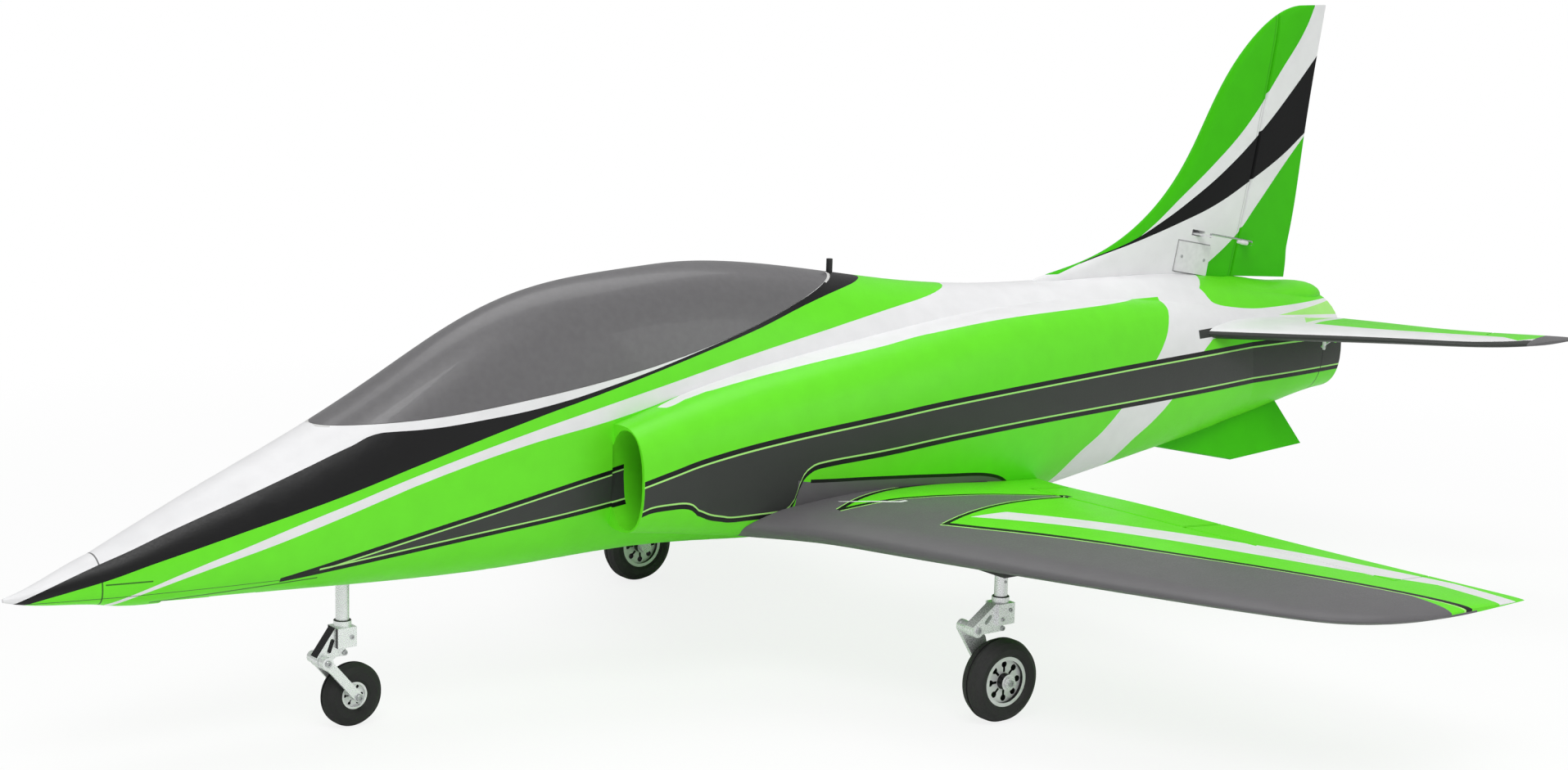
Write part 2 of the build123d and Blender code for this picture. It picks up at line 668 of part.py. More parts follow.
rotor = disc(rotor_station, rotor_hub_radius, rotor_depth)
blade_faces = []
for share in (0.0, 0.5, 1.0):
    radius = rotor_hub_radius - 1.5 + share * (fan_bore_radius - rotor_hub_radius + 1.5)
    pitch = blade_root_pitch + share * (blade_tip_pitch - blade_root_pitch)
    half_chord = blade_chord * (0.42 + 0.10 * share)
    half_thick = blade_thickness * (0.62 - 0.22 * share)
    outline = []
    for u, v in ((-1, 0), (-0.4, 0.85), (0.3, 0.9), (1, 0), (0.3, -0.5), (-0.4, -0.4)):
        a, b = u * half_chord, v * half_thick
        t = radians(pitch)
        outline.append(Vector(radius, a * cos(t) - b * sin(t), a * sin(t) + b * cos(t)))
    blade_faces.append(Face(Wire(Polyline(*outline, close=True).edges())))
blade = loft(blade_faces, ruled=True)
swept = disc(rotor_station - 6, fan_bore_radius - blade_tip_gap, rotor_depth + 12)
for index in range(blade_count):
    one = on_axis(rotor_station + rotor_depth / 2) * (Rot(0, 0, 360 * index / blade_count) * blade)
    rotor = rotor + (one & swept)
spinner = Plane(origin=(rotor_station, 0, thrust_line_height), z_dir=(-1, 0, 0)) * Cone(
    rotor_hub_radius, 6.0, 17, align=(Align.CENTER, Align.CENTER, Align.MIN))
rotor = rotor + spinner
shaft_end = stator_station + 1
rotor = rotor + disc(rotor_station + rotor_depth, 2.5, shaft_end - rotor_station - rotor_depth - moving_gap)
pieces["fan_rotor"] = rotor
pieces["exhaust_nozzle"] = disc(nozzle_start, nozzle_radius + nozzle_wall, nozzle_length) - disc(
    nozzle_start - 1, nozzle_radius, nozzle_length + 2)

# ======================================================================
# Battery bay contents
# ======================================================================
tray_top = bay_floor + tray_thickness
half_battery = battery_size[0] / 2
pieces["battery_tray"] = block(battery_station - half_battery - 8, battery_station + half_battery + 4,
                               -bay_half_width, bay_half_width, bay_floor, tray_top)
battery = block(battery_station - half_battery, battery_station + half_battery, -battery_size[1] / 2,
                battery_size[1] / 2, tray_top, tray_top + battery_size[2])
pieces["battery_pack"] = fillet(battery.edges().filter_by(Axis.X), 5)
straps = []
for offset in (-46, 46):
    x0 = battery_station + offset - strap_width / 2
    outer = block(x0, x0 + strap_width, -battery_size[1] / 2 - strap_thickness,
                  battery_size[1] / 2 + strap_thickness, tray_top, tray_top + battery_size[2] + strap_thickness)
    outer = fillet(outer.edges().filter_by(Axis.X).group_by(Axis.Z)[-1], 5 + strap_thickness)
    straps.append(outer - pieces["battery_pack"] - block(x0 - 1, x0 + strap_width + 1, -battery_size[1] / 2,
                                                         battery_size[1] / 2, tray_top, tray_top + 8))
pieces["battery_straps"] = Compound(children=[s.solids()[0] for s in straps])
behind_battery = battery_station + half_battery + 5
controller_top = bay_floor + controller_size[2]
controller = block(behind_battery, behind_battery + controller_size[0], -controller_size[1] / 2,
                   controller_size[1] / 2, bay_floor, controller_top)
fins = []
for index in range(7):
    y = -controller_size[1] / 2 + 9 + 6 * index
    fins.append(block(behind_battery + 3, behind_battery + controller_size[0] - 3, y - 1.4, y + 1.4,
                      controller_top - 3, controller_top + 1))
receiver_front = behind_battery + (controller_size[0] - receiver_size[0]) / 2
for groove in fins[1:]:
    controller = controller - groove
pieces["speed_controller"] = controller
pieces["receiver"] = block(receiver_front, receiver_front + receiver_size[0], -receiver_size[1] / 2,
                           receiver_size[1] / 2, controller_top, controller_top + receiver_size[2])
latch_plate = block(latch_station - 5.5, latch_station + 5.5, -3, 3, 276, 284)
latch_post = rod((latch_station, 0, 284), (latch_station, 0, 297.5), 2.4)
pieces["hatch_latch"] = latch_plate + latch_post

# ======================================================================
# Wheels
# ======================================================================
def wheel_pair(radius, width, hub_radius, slot_count, axle):
    """Tyre and hub about the Y axis through the origin."""
    half = width / 2
    rim = hub_radius
    profile = [(rim, -half * 0.72), (rim + 2, -half * 0.92), (radius - 6, -half), (radius - 2, -half * 0.72),
               (radius, -half * 0.25), (radius, half * 0.25), (radius - 2, half * 0.72), (radius - 6, half),
               (rim + 2, half * 0.92), (rim, half * 0.72)]
    ring = make_revolved(profile)
    groove = make_revolved([(radius - 0.8, -0.8), (radius + 1, -0.8), (radius + 1, 0.8), (radius - 0.8, 0.8)])
    tyre = ring - groove
    dish = half * 0.45
    lip = 0.145 * rim
    boss = rim / 3
    hub_profile = [(axle + running_clearance, -half), (boss, -half), (boss, -dish), (rim - lip, -dish),
                   (rim - lip, -half * 0.72), (rim, -half * 0.72), (rim, half * 0.72), (rim - lip, half * 0.72),
                   (rim - lip, dish), (boss, dish), (boss, half), (axle + running_clearance, half)]
    hub = make_revolved(hub_profile)
    middle = (rim - lip + boss) / 2
    reach = (rim - lip - boss) / 2 - 0.5
    for index in range(slot_count):
        slot = Rot(0, 360 * index / slot_count, 0) * (
            rod((middle + reach * 0.35, -width, 0), (middle + reach * 0.35, width, 0), reach * 0.55)
            + block(middle - reach, middle, -width, width, -reach * 0.22, reach * 0.22))
        hub = hub - slot
    return tyre, hub


def make_revolved(points):
    """Turn a radius-and-width outline about the Y axis."""
    face = Face(Wire(Polyline(*[(r, w, 0) for r, w in points], close=True).edges()))
    return revolve(face, axis=Axis.Y, revolution_arc=360)


nose_tyre, nose_hub = wheel_pair(nose_wheel_radius, nose_wheel_width, nose_hub_radius,
                                 nose_hole_count, axle_radius)
pieces["nose_tyre"] = Pos(nose_axle[0], 0, nose_axle[1]) * nose_tyre
pieces["nose_hub"] = Pos(nose_axle[0], 0, nose_axle[1]) * nose_hub
main_tyre, main_hub = wheel_pair(main_wheel_radius, main_wheel_width, main_hub_radius, hub_slot_count,
                                 axle_radius + 0.5)

# ======================================================================
# Nose gear
# ======================================================================
px, pz = nose_pivot
unit = block(*nose_unit_box)
unit = unit - block(px - 20, px + 22, -9.0, 9.0, pz - 30, pz + 11)
unit = unit - block(px - 20, px + 8, -20, 20, pz + 8, pz + 30)
unit = unit - rod((px, -20, pz), (px, 20, pz), trunnion_pin_radius + running_clearance)
pieces["nose_retract_unit"] = unit
trunnion = rod((px, -8.6, pz), (px, 8.6, pz), 7.5) + rod((px, -13.5, pz), (px, 13.5, pz), trunnion_pin_radius)
trunnion = trunnion + block(px - 7.5, px + 7.5, -8.6, 8.6, pz - 12, pz)
trunnion = trunnion - rod((px, 0, pz - 20), (px, 0, pz - 1), leg_tube_radius + running_clearance)
pieces["nose_trunnion"] = trunnion
kx, kz = nose_knee
leg = rod((px, 0, clamp_bottom + 2), (px, 0, pz - 1.5), leg_tube_radius)
clamp_half = leg_tube_radius + clamp_wall
leg = leg + block(px - clamp_half, px + clamp_half, -clamp_half, clamp_half, clamp_bottom, clamp_top)
bracket = side_plate([(px - 2, clamp_top - 2), (px - 8, clamp_top), (kx - 5, kz + 3), (kx - 2, kz - 4),
                      (kx + 4.4, kz - 2), (px + 2, clamp_bottom)], -knee_lug_half_width, knee_lug_half_width)
leg = leg + bracket + rod((kx, -knee_lug_half_width, kz), (kx, knee_lug_half_width, kz), knee_lug_radius)
leg = leg + rod((px, 0, clamp_top), (px, 0, clamp_top + collar_height), leg_tube_radius + collar_wall)
shock_foot = kz + 3.6
leg = leg + rod((px, 0, shock_foot), (px, 0, clamp_bottom + 1), shock_radius)
leg = leg + bar_link((kx + 5, shock_foot), (px, shock_foot), 2.1, -3.4, 3.4)
leg = leg - bar_link((px - 10, clamp_top - 8.5), (kx + 4.5, kz + 6.5), slot_radius, -9, 9)
leg = leg + rod((kx, -nose_link_out, kz), (kx, nose_link_out, kz), knee_pin_radius)
pieces["nose_leg"] = leg
ax, az = nose_axle
link_parts = None
for side in (-1, 1):
    y0 = side * (nose_link_out - link_thickness)
    y1 = side * nose_link_out
    low, high = min(y0, y1), max(y0, y1)
    plate = bar_link(nose_knee, nose_axle, nose_link_half_width, low, high)
    inner = side * (knee_lug_half_width + moving_gap)
    plate = plate + rod((kx, min(inner, y1), kz), (kx, max(inner, y1), kz), knee_boss_radius)
    link_parts = plate if link_parts is None else link_parts + plate
span = hypot(ax - kx, az - kz)
bridge = (kx + 9 * (ax - kx) / span, kz + 9 * (az - kz) / span)
link = link_parts + rod((bridge[0], -nose_link_out, bridge[1]), (bridge[0], nose_link_out, bridge[1]), 2.2)
link = link - rod((kx, -20, kz), (kx, 20, kz), knee_pin_radius + running_clearance)
link = link + rod((ax, -nose_link_out - 0.8, az), (ax, nose_link_out + 0.8, az), axle_radius)
pieces["nose_link"] = link


# ======================================================================
# Main gear, port side at negative Y; the starboard side is its mirror
# ======================================================================
mx, my, mz = main_leg_station, -main_gear_out, main_pivot_height
mk, ma = main_knee, main_axle
leg = rod((mx, my, main_clamp_bottom + 2), (mx, my, mz + 2), leg_tube_radius)
leg = leg + rod((mx - 14, my, mz), (mx + 14, my, mz), 6.0)
leg = leg + rod((mx - 21, my, mz), (mx + 21, my, mz), trunnion_pin_radius)
leg = leg + block(mx - clamp_half, mx + clamp_half, my - clamp_half, my + clamp_half,
                  main_clamp_bottom, main_clamp_top)
bracket = side_plate([(mx - 2, main_clamp_top - 1), (mx - 8, main_clamp_top), (mk[0] - 5, mk[1] + 3),
                      (mk[0] - 3, mk[1] - 4), (mk[0] + 4, mk[1] - 3), (mx + 2, main_clamp_bottom)],
                     my - knee_lug_half_width, my + knee_lug_half_width)
leg = leg + bracket
leg = leg + rod((mk[0], my - knee_lug_half_width, mk[1]), (mk[0], my + knee_lug_half_width, mk[1]),
                knee_lug_radius)
link_in = main_wheel_width / 2 + link_side_gap
link_out = link_in + link_thickness
leg = leg + rod((mk[0], my, mk[1]), (mk[0], my + link_out, mk[1]), knee_pin_radius)
leg = leg + rod((mx, my, main_clamp_top), (mx, my, main_clamp_top + collar_height),
                leg_tube_radius + collar_wall)
main_shock_foot = main_clamp_bottom - 3.6
leg = leg + rod((mx, my, main_shock_foot), (mx, my, main_clamp_bottom + 1), shock_radius)
leg = leg + bar_link((mk[0] + 6, main_shock_foot), (mx, main_shock_foot), 1.9, my - 3.4, my + 3.4)
leg = leg - bar_link((mx - 12.5, main_clamp_top - 8.5), (mk[0] + 7, mk[1] + 5), slot_radius, my - 9, my + 9)
main_leg = leg
link = bar_link(mk, ma, 4.6, my + link_in, my + link_out)
link_lug = (mk[0] + 17, mk[1] - 12)
link = link + bar_link(mk, link_lug, 3.6, my + link_in, my + link_out)
link = link + side_plate([mk, link_lug, ma], my + link_in, my + link_out)
link = link + bar_link(link_lug, ma, 3.6, my + link_in, my + link_out)
link = link + rod((mk[0], my + knee_lug_half_width + moving_gap, mk[1]), (mk[0], my + link_out, mk[1]), 4.4)
link = link - rod((mk[0], my - 30, mk[1]), (mk[0], my + 30, mk[1]), knee_pin_radius + running_clearance)
link = link + rod((ma[0], my - main_wheel_width / 2 - 1.5, ma[1]), (ma[0], my + link_in + 1, ma[1]),
                  axle_radius + 0.5)
link = link + rod((ma[0], my - main_wheel_width / 2 - 2.2, ma[1]), (ma[0], my - main_wheel_width / 2 - 0.4, ma[1]),
                  4.0)
main_link = link
unit_box = (mx - 21, mx + 21, my - 27, my + 8, mz - 3.5, mz + 12)
unit = block(*unit_box) - block(mx - 14.6, mx + 14.6, my - 9, my + 30, mz - 30, mz + 8.5)
unit = unit - rod((mx - 40, my, mz), (mx + 40, my, mz), trunnion_pin_radius + running_clearance)
main_unit = unit

retracted_out = main_gear_out - (main_pivot_height - main_axle[1])
wheel_pocket = block(main_axle[0] - main_wheel_radius - 5, main_axle[0] + main_wheel_radius + 13,
                     -(retracted_out + main_wheel_radius + 12), -(retracted_out - main_wheel_radius - 3),
                     60, main_well_top)
knee_out = -(main_gear_out - (main_pivot_height - main_clamp_top) + 5)
leg_slot = block(main_knee[0] - 8, mx + 14.6, knee_out, -(retracted_out + main_wheel_radius),
                 60, main_well_top)
leg_slot = leg_slot + block(mx - 14.6, mx + 14.6, my - 9, knee_out + 1, 60, unit_box[5])
unit_pocket = block(unit_box[0], unit_box[1], unit_box[2], unit_box[3], 60, unit_box[5])

port_cuts = [wheel_pocket, leg_slot, unit_pocket]
wing_port = wings["port"] - spar_hole
for cut in port_cuts:
    wing_port = wing_port - cut
wing_starboard = wings["starboard"] - spar_hole
for cut in port_cuts:
    wing_starboard = wing_starboard - mirror_side(cut)
pieces["wing_port"] = wing_port
pieces["wing_starboard"] = wing_starboard
pieces["wing_spar"] = spar_hole

for side in (-1, 1):
    name = side_name(side)
    gear = {"main_leg_": main_leg, "main_link_": main_link, "main_retract_unit_": main_unit,
            "main_tyre_": Pos(ma[0], my, ma[1]) * main_tyre, "main_hub_": Pos(ma[0], my, ma[1]) * main_hub}
    for label, shape in gear.items():
        pieces[label + name] = shape if side < 0 else mirror_side(shape)

pieces["tailplane_port"] = tails["port"]
pieces["tailplane_starboard"] = tails["starboard"]

# ======================================================================
# Write every piece, centred on the middle of the overall length
# ======================================================================
os.makedirs("parts", exist_ok=True)
to_centre = Location((-overall_length / 2, 0, 0))
for name, shape in pieces.items():
    solids = [solid.moved(to_centre) for solid in shape.solids()]
    result = solids[0] if len(solids) == 1 else Compound(children=solids)
    export_step(result, os.path.join("parts", name + ".step"))
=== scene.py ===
import bmesh
import bpy
import json
import math
from mathutils import Matrix, Vector


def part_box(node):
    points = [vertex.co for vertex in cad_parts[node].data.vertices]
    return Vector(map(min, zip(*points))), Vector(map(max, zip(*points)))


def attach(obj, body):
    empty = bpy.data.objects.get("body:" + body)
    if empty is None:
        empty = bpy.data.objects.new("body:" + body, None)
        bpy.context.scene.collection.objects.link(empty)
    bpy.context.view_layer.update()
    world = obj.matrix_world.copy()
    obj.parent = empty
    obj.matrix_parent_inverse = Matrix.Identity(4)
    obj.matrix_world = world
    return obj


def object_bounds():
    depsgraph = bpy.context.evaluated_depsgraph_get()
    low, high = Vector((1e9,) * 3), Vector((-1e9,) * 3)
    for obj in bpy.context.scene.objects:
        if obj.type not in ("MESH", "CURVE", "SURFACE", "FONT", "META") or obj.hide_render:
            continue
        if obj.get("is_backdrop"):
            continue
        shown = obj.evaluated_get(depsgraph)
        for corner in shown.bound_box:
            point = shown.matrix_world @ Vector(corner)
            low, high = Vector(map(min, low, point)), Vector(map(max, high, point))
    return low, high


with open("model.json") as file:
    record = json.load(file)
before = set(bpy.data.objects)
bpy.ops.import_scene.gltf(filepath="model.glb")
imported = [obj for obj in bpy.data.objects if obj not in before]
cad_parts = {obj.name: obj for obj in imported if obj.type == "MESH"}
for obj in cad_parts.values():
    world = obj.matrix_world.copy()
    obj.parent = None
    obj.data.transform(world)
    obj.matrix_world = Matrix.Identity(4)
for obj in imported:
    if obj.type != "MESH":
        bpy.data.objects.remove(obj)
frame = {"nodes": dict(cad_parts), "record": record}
NODES = frame["nodes"]
JOINTS = {joint["name"]: joint for joint in frame["record"]["behaviour"]["joints"]}
CAD_LOW, CAD_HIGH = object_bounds()
NOSE_X = CAD_LOW[0]
MM_PER_METRE = 1000.0

# ---------------------------------------------------------------- colours
WHITE = (0.82, 0.82, 0.83)
# One green paint in two copies: the lighter one below carries painted light and a painted sheen,
# and is used on the fuselage, wing and tailplane; the darker one after it carries painted shade,
# and is used on the fin, rudder and the other green parts.
LIT_GREEN = (0.145, 0.790, 0.018)
SHADED_GREEN = (0.050, 0.520, 0.0015)
BLACK = (0.007, 0.007, 0.0075)
GREY = (0.140, 0.137, 0.142)
BARE_FOAM = (0.62, 0.62, 0.61)
# The grey paint made much darker than GREY, as painted shade; used on the side band, the nose
# wedge, the tail root and the tailplane's leading edge.
SHADED_GREY = (0.040, 0.044, 0.040)
# Pale green for the pinstripes; on the tailplane it is also a painted highlight.
PALE_GREEN = (0.42, 0.86, 0.22)
FLOOR_WHITE = 0.84
SEAM_SHADE = 0.78
COVER_SEAM_SHADE = 0.6
GROOVE_SHADE = 0.25

# ---------------------------------------------------------------- sizes, millimetres
# The battery bay and the line of the sill, as (station from the nose, height).
BAY_FRONT = 296.0
BAY_BACK = 528.0
BAY_HALF_WIDTH = 31.0
BAY_FLOOR = 142.0
BAY_MARGIN = 0.4
SILL = [(217.0, 215.7), (260.0, 216.7), (300.0, 218.6), (344.0, 222.8), (428.0, 233.5),
        (508.0, 249.0), (559.0, 262.5), (600.0, 275.0), (646.0, 288.9)]
# The rudder servo's cover, along the hinge's normal and along the hinge.
COVER_LENGTH = 37.0
COVER_WIDTH = 25.0
# The tailplane's upper skin begins above this height, and the wing's above the other.
TAIL_SKIN = 218.7
WING_SKIN = 124.0

# Noise mostly stays inside this range, and is stretched from it.
NOISE_LOW, NOISE_HIGH = 0.3, 0.7
# Sockets of a colour mix node, whose names repeat.
MIX_FACTOR, MIX_A, MIX_B, MIX_RESULT = 0, 6, 7, 2


class Graph:
    """Small helper for building shader nodes. Lengths are millimetres."""

    def __init__(self, name):
        self.material = bpy.data.materials.new(name)
        self.material.use_nodes = True
        self.tree = self.material.node_tree
        self.nodes = self.tree.nodes
        self.shader = self.nodes["Principled BSDF"]
        coordinates = self.new("ShaderNodeTexCoord")
        self.object = coordinates.outputs["Object"]
        self.normal = coordinates.outputs["Normal"]

    def new(self, kind):
        return self.nodes.new(kind)

    def join(self, value, socket):
        if isinstance(value, bpy.types.NodeSocket):
            self.tree.links.new(value, socket)
        else:
            socket.default_value = value

    def math(self, operation, *values):
        node = self.new("ShaderNodeMath")
        node.operation = operation
        for index, value in enumerate(values):
            self.join(value, node.inputs[index])
        return node.outputs[0]

    def split(self, vector):
        node = self.new("ShaderNodeSeparateXYZ")
        self.join(vector, node.inputs[0])
        return node.outputs

    def axes(self):
        """Station from the nose, distance out from the centre, height, and signed side."""
        x, y, z = self.split(self.object)
        station = self.math("MULTIPLY_ADD", x, MM_PER_METRE, -NOSE_X * MM_PER_METRE)
        side = self.math("MULTIPLY", y, MM_PER_METRE)
        height = self.math("MULTIPLY", z, MM_PER_METRE)
        return station, self.math("ABSOLUTE", side), height, side

    def curve(self, value, points):
        """A drawn line: its second coordinate as a function of the first."""
        lows = [min(p[i] for p in points) for i in (0, 1)]
        highs = [max(p[i] for p in points) for i in (0, 1)]
        share = self.math("DIVIDE", self.math("SUBTRACT", value, lows[0]), highs[0] - lows[0])
        node = self.new("ShaderNodeFloatCurve")
        self.join(share, node.inputs["Value"])
        line = node.mapping.curves[0]
        scaled = [((a - lows[0]) / (highs[0] - lows[0]), (b - lows[1]) / (highs[1] - lows[1]))
                  for a, b in sorted(points)]
        line.points[0].location = scaled[0]
        line.points[1].location = scaled[-1]
        for place in scaled[1:-1]:
            line.points.new(*place)
        for point in line.points:
            point.handle_type = "AUTO_CLAMPED"
        node.mapping.extend = "HORIZONTAL"
        node.mapping.update()
        return self.math("MULTIPLY_ADD", node.outputs[0], highs[1] - lows[1], lows[1])

    def over(self, a, b):
        return self.math("GREATER_THAN", a, b)

    def under(self, a, b):
        return self.math("LESS_THAN", a, b)

    def both(self, *masks):
        result = masks[0]
        for mask in masks[1:]:
            result = self.math("MULTIPLY", result, mask)
        return result

    def either(self, *masks):
        result = masks[0]
        for mask in masks[1:]:
            result = self.math("MAXIMUM", result, mask)
        return result

    def outside(self, mask):
        return self.math("SUBTRACT", 1.0, mask)

    def near(self, a, b, half_width):
        return self.under(self.math("ABSOLUTE", self.math("SUBTRACT", a, b)), half_width)

    def between(self, value, low, high):
        return self.both(self.over(value, low), self.under(value, high))

    def slope(self, value, steepness, start):
        """A straight line: start + steepness x value."""
        return self.math("MULTIPLY_ADD", value, steepness, start)

    def mix(self, share, base, colour, blend="MIX"):
        node = self.new("ShaderNodeMix")
        node.data_type = "RGBA"
        node.blend_type = blend
        self.join(share, node.inputs[MIX_FACTOR])
        for value, index in ((base, MIX_A), (colour, MIX_B)):
            is_socket = isinstance(value, bpy.types.NodeSocket)
            self.join(value if is_socket else (*value, 1.0), node.inputs[index])
        return node.outputs[MIX_RESULT]

    def paint(self, base, mask, colour):
        return self.mix(mask, base, colour)

    def noise(self, scale, detail=3.0):
        node = self.new("ShaderNodeTexNoise")
        self.join(self.object, node.inputs["Vector"])
        node.inputs["Scale"].default_value = scale
        node.inputs["Detail"].default_value = detail
        return node.outputs["Fac"]

    def cells(self, scale):
        node = self.new("ShaderNodeTexVoronoi")
        self.join(self.object, node.inputs["Vector"])
        node.inputs["Scale"].default_value = scale
        return node.outputs["Distance"]

    def spread(self, value, low, high, to_low, to_high):
        node = self.new("ShaderNodeMapRange")
        self.join(value, node.inputs[0])
        for index, number in enumerate((low, high, to_low, to_high)):
            node.inputs[1 + index].default_value = number
        return node.outputs[0]

    def grain(self, scale, detail, low, high):
        """Noise stretched to run from low to high."""
        return self.spread(self.noise(scale, detail), NOISE_LOW, NOISE_HIGH, low, high)

    def set(self, name, value):
        self.join(value, self.shader.inputs[name])

    def bump(self, height, strength, distance):
        node = self.new("ShaderNodeBump")
        node.inputs["Strength"].default_value = strength
        node.inputs["Distance"].default_value = distance
        self.join(height, node.inputs["Height"])
        self.set("Normal", node.outputs[0])


# ---------------------------------------------------------------- paint lines
# Each line is drawn as (station from the nose, height) unless it says otherwise.
LINES = {
    "black_high": [(0, 117.6), (9.9, 121.7), (28.4, 129.1), (51.8, 138.2), (77, 147.1),
                   (108, 159.2), (161, 178.2), (196, 190.8), (231, 203.7), (254, 211.2),
                   (287, 211.6), (320, 213.8), (376, 219.7), (435, 231.0), (498, 246.2),
                   (550, 260.0), (588, 271.4), (626, 282.9), (646, 289.5)],
    "black_low": [(0, 114.5), (19, 120.5), (39, 125.4), (66, 131.9), (90.5, 138.9),
                  (123, 147.5), (156, 156.1), (191, 164.9), (226, 174.0), (277, 188.5),
                  (361, 211.0), (420, 224.7), (482, 239.9), (547, 256.4), (622, 275.7),
                  (680, 284.0)],
    "white_high": [(60, 112.5), (69.5, 116.5), (90, 124.0), (122, 135.3), (156, 146.0),
                   (190, 156.7), (225, 166.9), (277, 182.0), (361, 202.8), (419, 215.2),
                   (480, 227.8), (544, 240.9), (612, 252.6), (676, 261.9), (736, 268.4),
                   (790, 276.0)],
    "white_low": [(64, 111.0), (72, 115.0), (106, 126.4), (139, 135.8), (173, 145.0),
                  (208, 155.2), (256, 169.6), (276, 175.4), (360, 194.8), (419, 204.2),
                  (449, 210.0), (504, 222.5), (566, 232.0), (653, 241.6), (698, 246.4),
                  (813, 251.4), (900, 250.6), (965, 249.6)],
    "grey_high": [(427, 167.0), (450, 172.5), (483, 179.6), (546, 187.6), (634, 194.6),
                  (714, 199.5), (878, 203.2), (1018, 204.4), (1175, 204.6)],
    "grey_low": [(427, 144.4), (440, 147.4), (455, 147.6), (474, 140.4), (495, 133.2),
                 (512, 131.0), (545, 131.0), (558, 150.0), (566, 161.0), (578, 164.6),
                 (634, 167.2), (714, 171.2), (836, 172.8), (972, 172.8), (1071, 173.0),
                 (1175, 174.8)],
    "pad_low": [(557, 156.0), (566, 154.0), (574, 153.2), (626, 149.4), (698, 142.6),
                (745, 136.5), (780, 120.0)],
    "wedge_high": [(178, 119.6), (256, 136.5), (330, 151.2), (394, 163.3), (438, 171.0)],
    "wedge_low": [(178, 119.2), (258, 127.7), (331, 135.1), (396, 141.0), (438, 145.6)],
    "pod_low": [(1014, 255.0), (1018, 249.0), (1025, 240.0), (1048, 235.0), (1079, 231.8),
                (1180, 231.0)],
    "rudder_green": [(1014, 250.5), (1076, 289.0), (1098, 311.6), (1129, 343.7), (1157, 370.5)],
    "fin_green": [(880, 270.0), (912, 278.6), (958, 290.9), (975, 299.5), (1011, 324.9),
                  (1046, 350.8), (1083, 382.4), (1120, 425.4), (1147, 458.1), (1160, 482.0)],
    "fin_black_high": [(900, 275.5), (914, 279.4), (958, 291.7), (990, 305.5), (1025, 324.2),
                       (1062, 347.4), (1100, 376.0), (1139, 410.8), (1170, 441.0)],
    "fin_black_low": [(900, 275.4), (914, 278.8), (975, 294.0), (1011, 304.3), (1048, 316.1),
                      (1087, 333.4), (1128, 353.6), (1156, 371.5)],
}
# Drawn as (height, station): the swept white band round the rear fuselage.
SWEEP = {
    "cheek_end": [(108, 818), (136, 843.6), (156, 874.2), (171.6, 893.7), (204, 932.2),
                  (221, 947.8), (234, 956.5), (243.8, 962.5), (251, 963.0)],
    "band_end": [(108, 884), (139, 910.4), (157, 937.7), (172, 957.6), (204.6, 993.3),
                 (215, 1009.0)],
}
# Drawn on the wing as (distance out, station) or, for the swooshes, (station, distance out).
WING_LINES = {
    "band": [(187.6, 617.3), (268.5, 670.0), (332.0, 706.7), (391.8, 741.0), (455.0, 771.0),
             (513.0, 792.0)],
    "sw2_top": [(617.0, 187.6), (656.0, 175.0), (696.0, 162.5), (773.0, 143.8)],
    "sw1_low": [(577.0, 116.0), (607.5, 118.5), (650.0, 124.0), (700.0, 130.3), (777.0, 140.5)],
    "sw1_top": [(577.0, 116.0), (606.0, 105.0), (647.0, 95.0), (688.0, 88.5), (745.0, 82.0)],
    "white_back": [(170.0, 660.0), (250.0, 735.5), (338.0, 797.0), (411.0, 824.5),
                   (460.0, 838.0)],
    "white_front": [(183.0, 638.0), (191.0, 647.0), (268.0, 713.0), (352.0, 762.0),
                    (419.0, 797.0), (460.0, 822.0)],
    "under_green": [(60.0, 560.0), (187.6, 627.0), (332.0, 712.0), (455.0, 776.0),
                    (513.0, 800.0)],
}
# Drawn on the tailplane as (distance out, station).
TAIL_LINES = {
    "wedge_front": [(60.0, 1068.0), (82.0, 1090.0), (118.0, 1119.5), (150.0, 1152.0),
                    (190.0, 1196.0)],
    "edge": [(40.0, 1001.0), (102.0, 1074.0), (172.0, 1147.0), (203.0, 1183.0), (217.0, 1220.0)],
}


def foam_finish(graph, colour, gloss, sheen):
    """Painted bead foam: faint bead outlines, slight mottling and a satin sheen."""
    mottle = graph.grain(60.0, 4.0, 0.965, 1.02)
    grey = graph.new("ShaderNodeCombineColor")
    for channel in range(3):
        graph.join(mottle, grey.inputs[channel])
    graph.set("Base Color", graph.mix(1.0, colour, grey.outputs[0], "MULTIPLY"))
    graph.set("Roughness", graph.grain(900.0, 2.0, gloss - 0.05, gloss + 0.08))
    graph.set("Specular IOR Level", sheen)
    beads = graph.math("MULTIPLY", graph.cells(420.0), 0.6)
    fine = graph.math("MULTIPLY", graph.noise(1600.0, 2.0), 0.4)
    graph.bump(graph.math("ADD", beads, fine), 0.10, 0.0004)


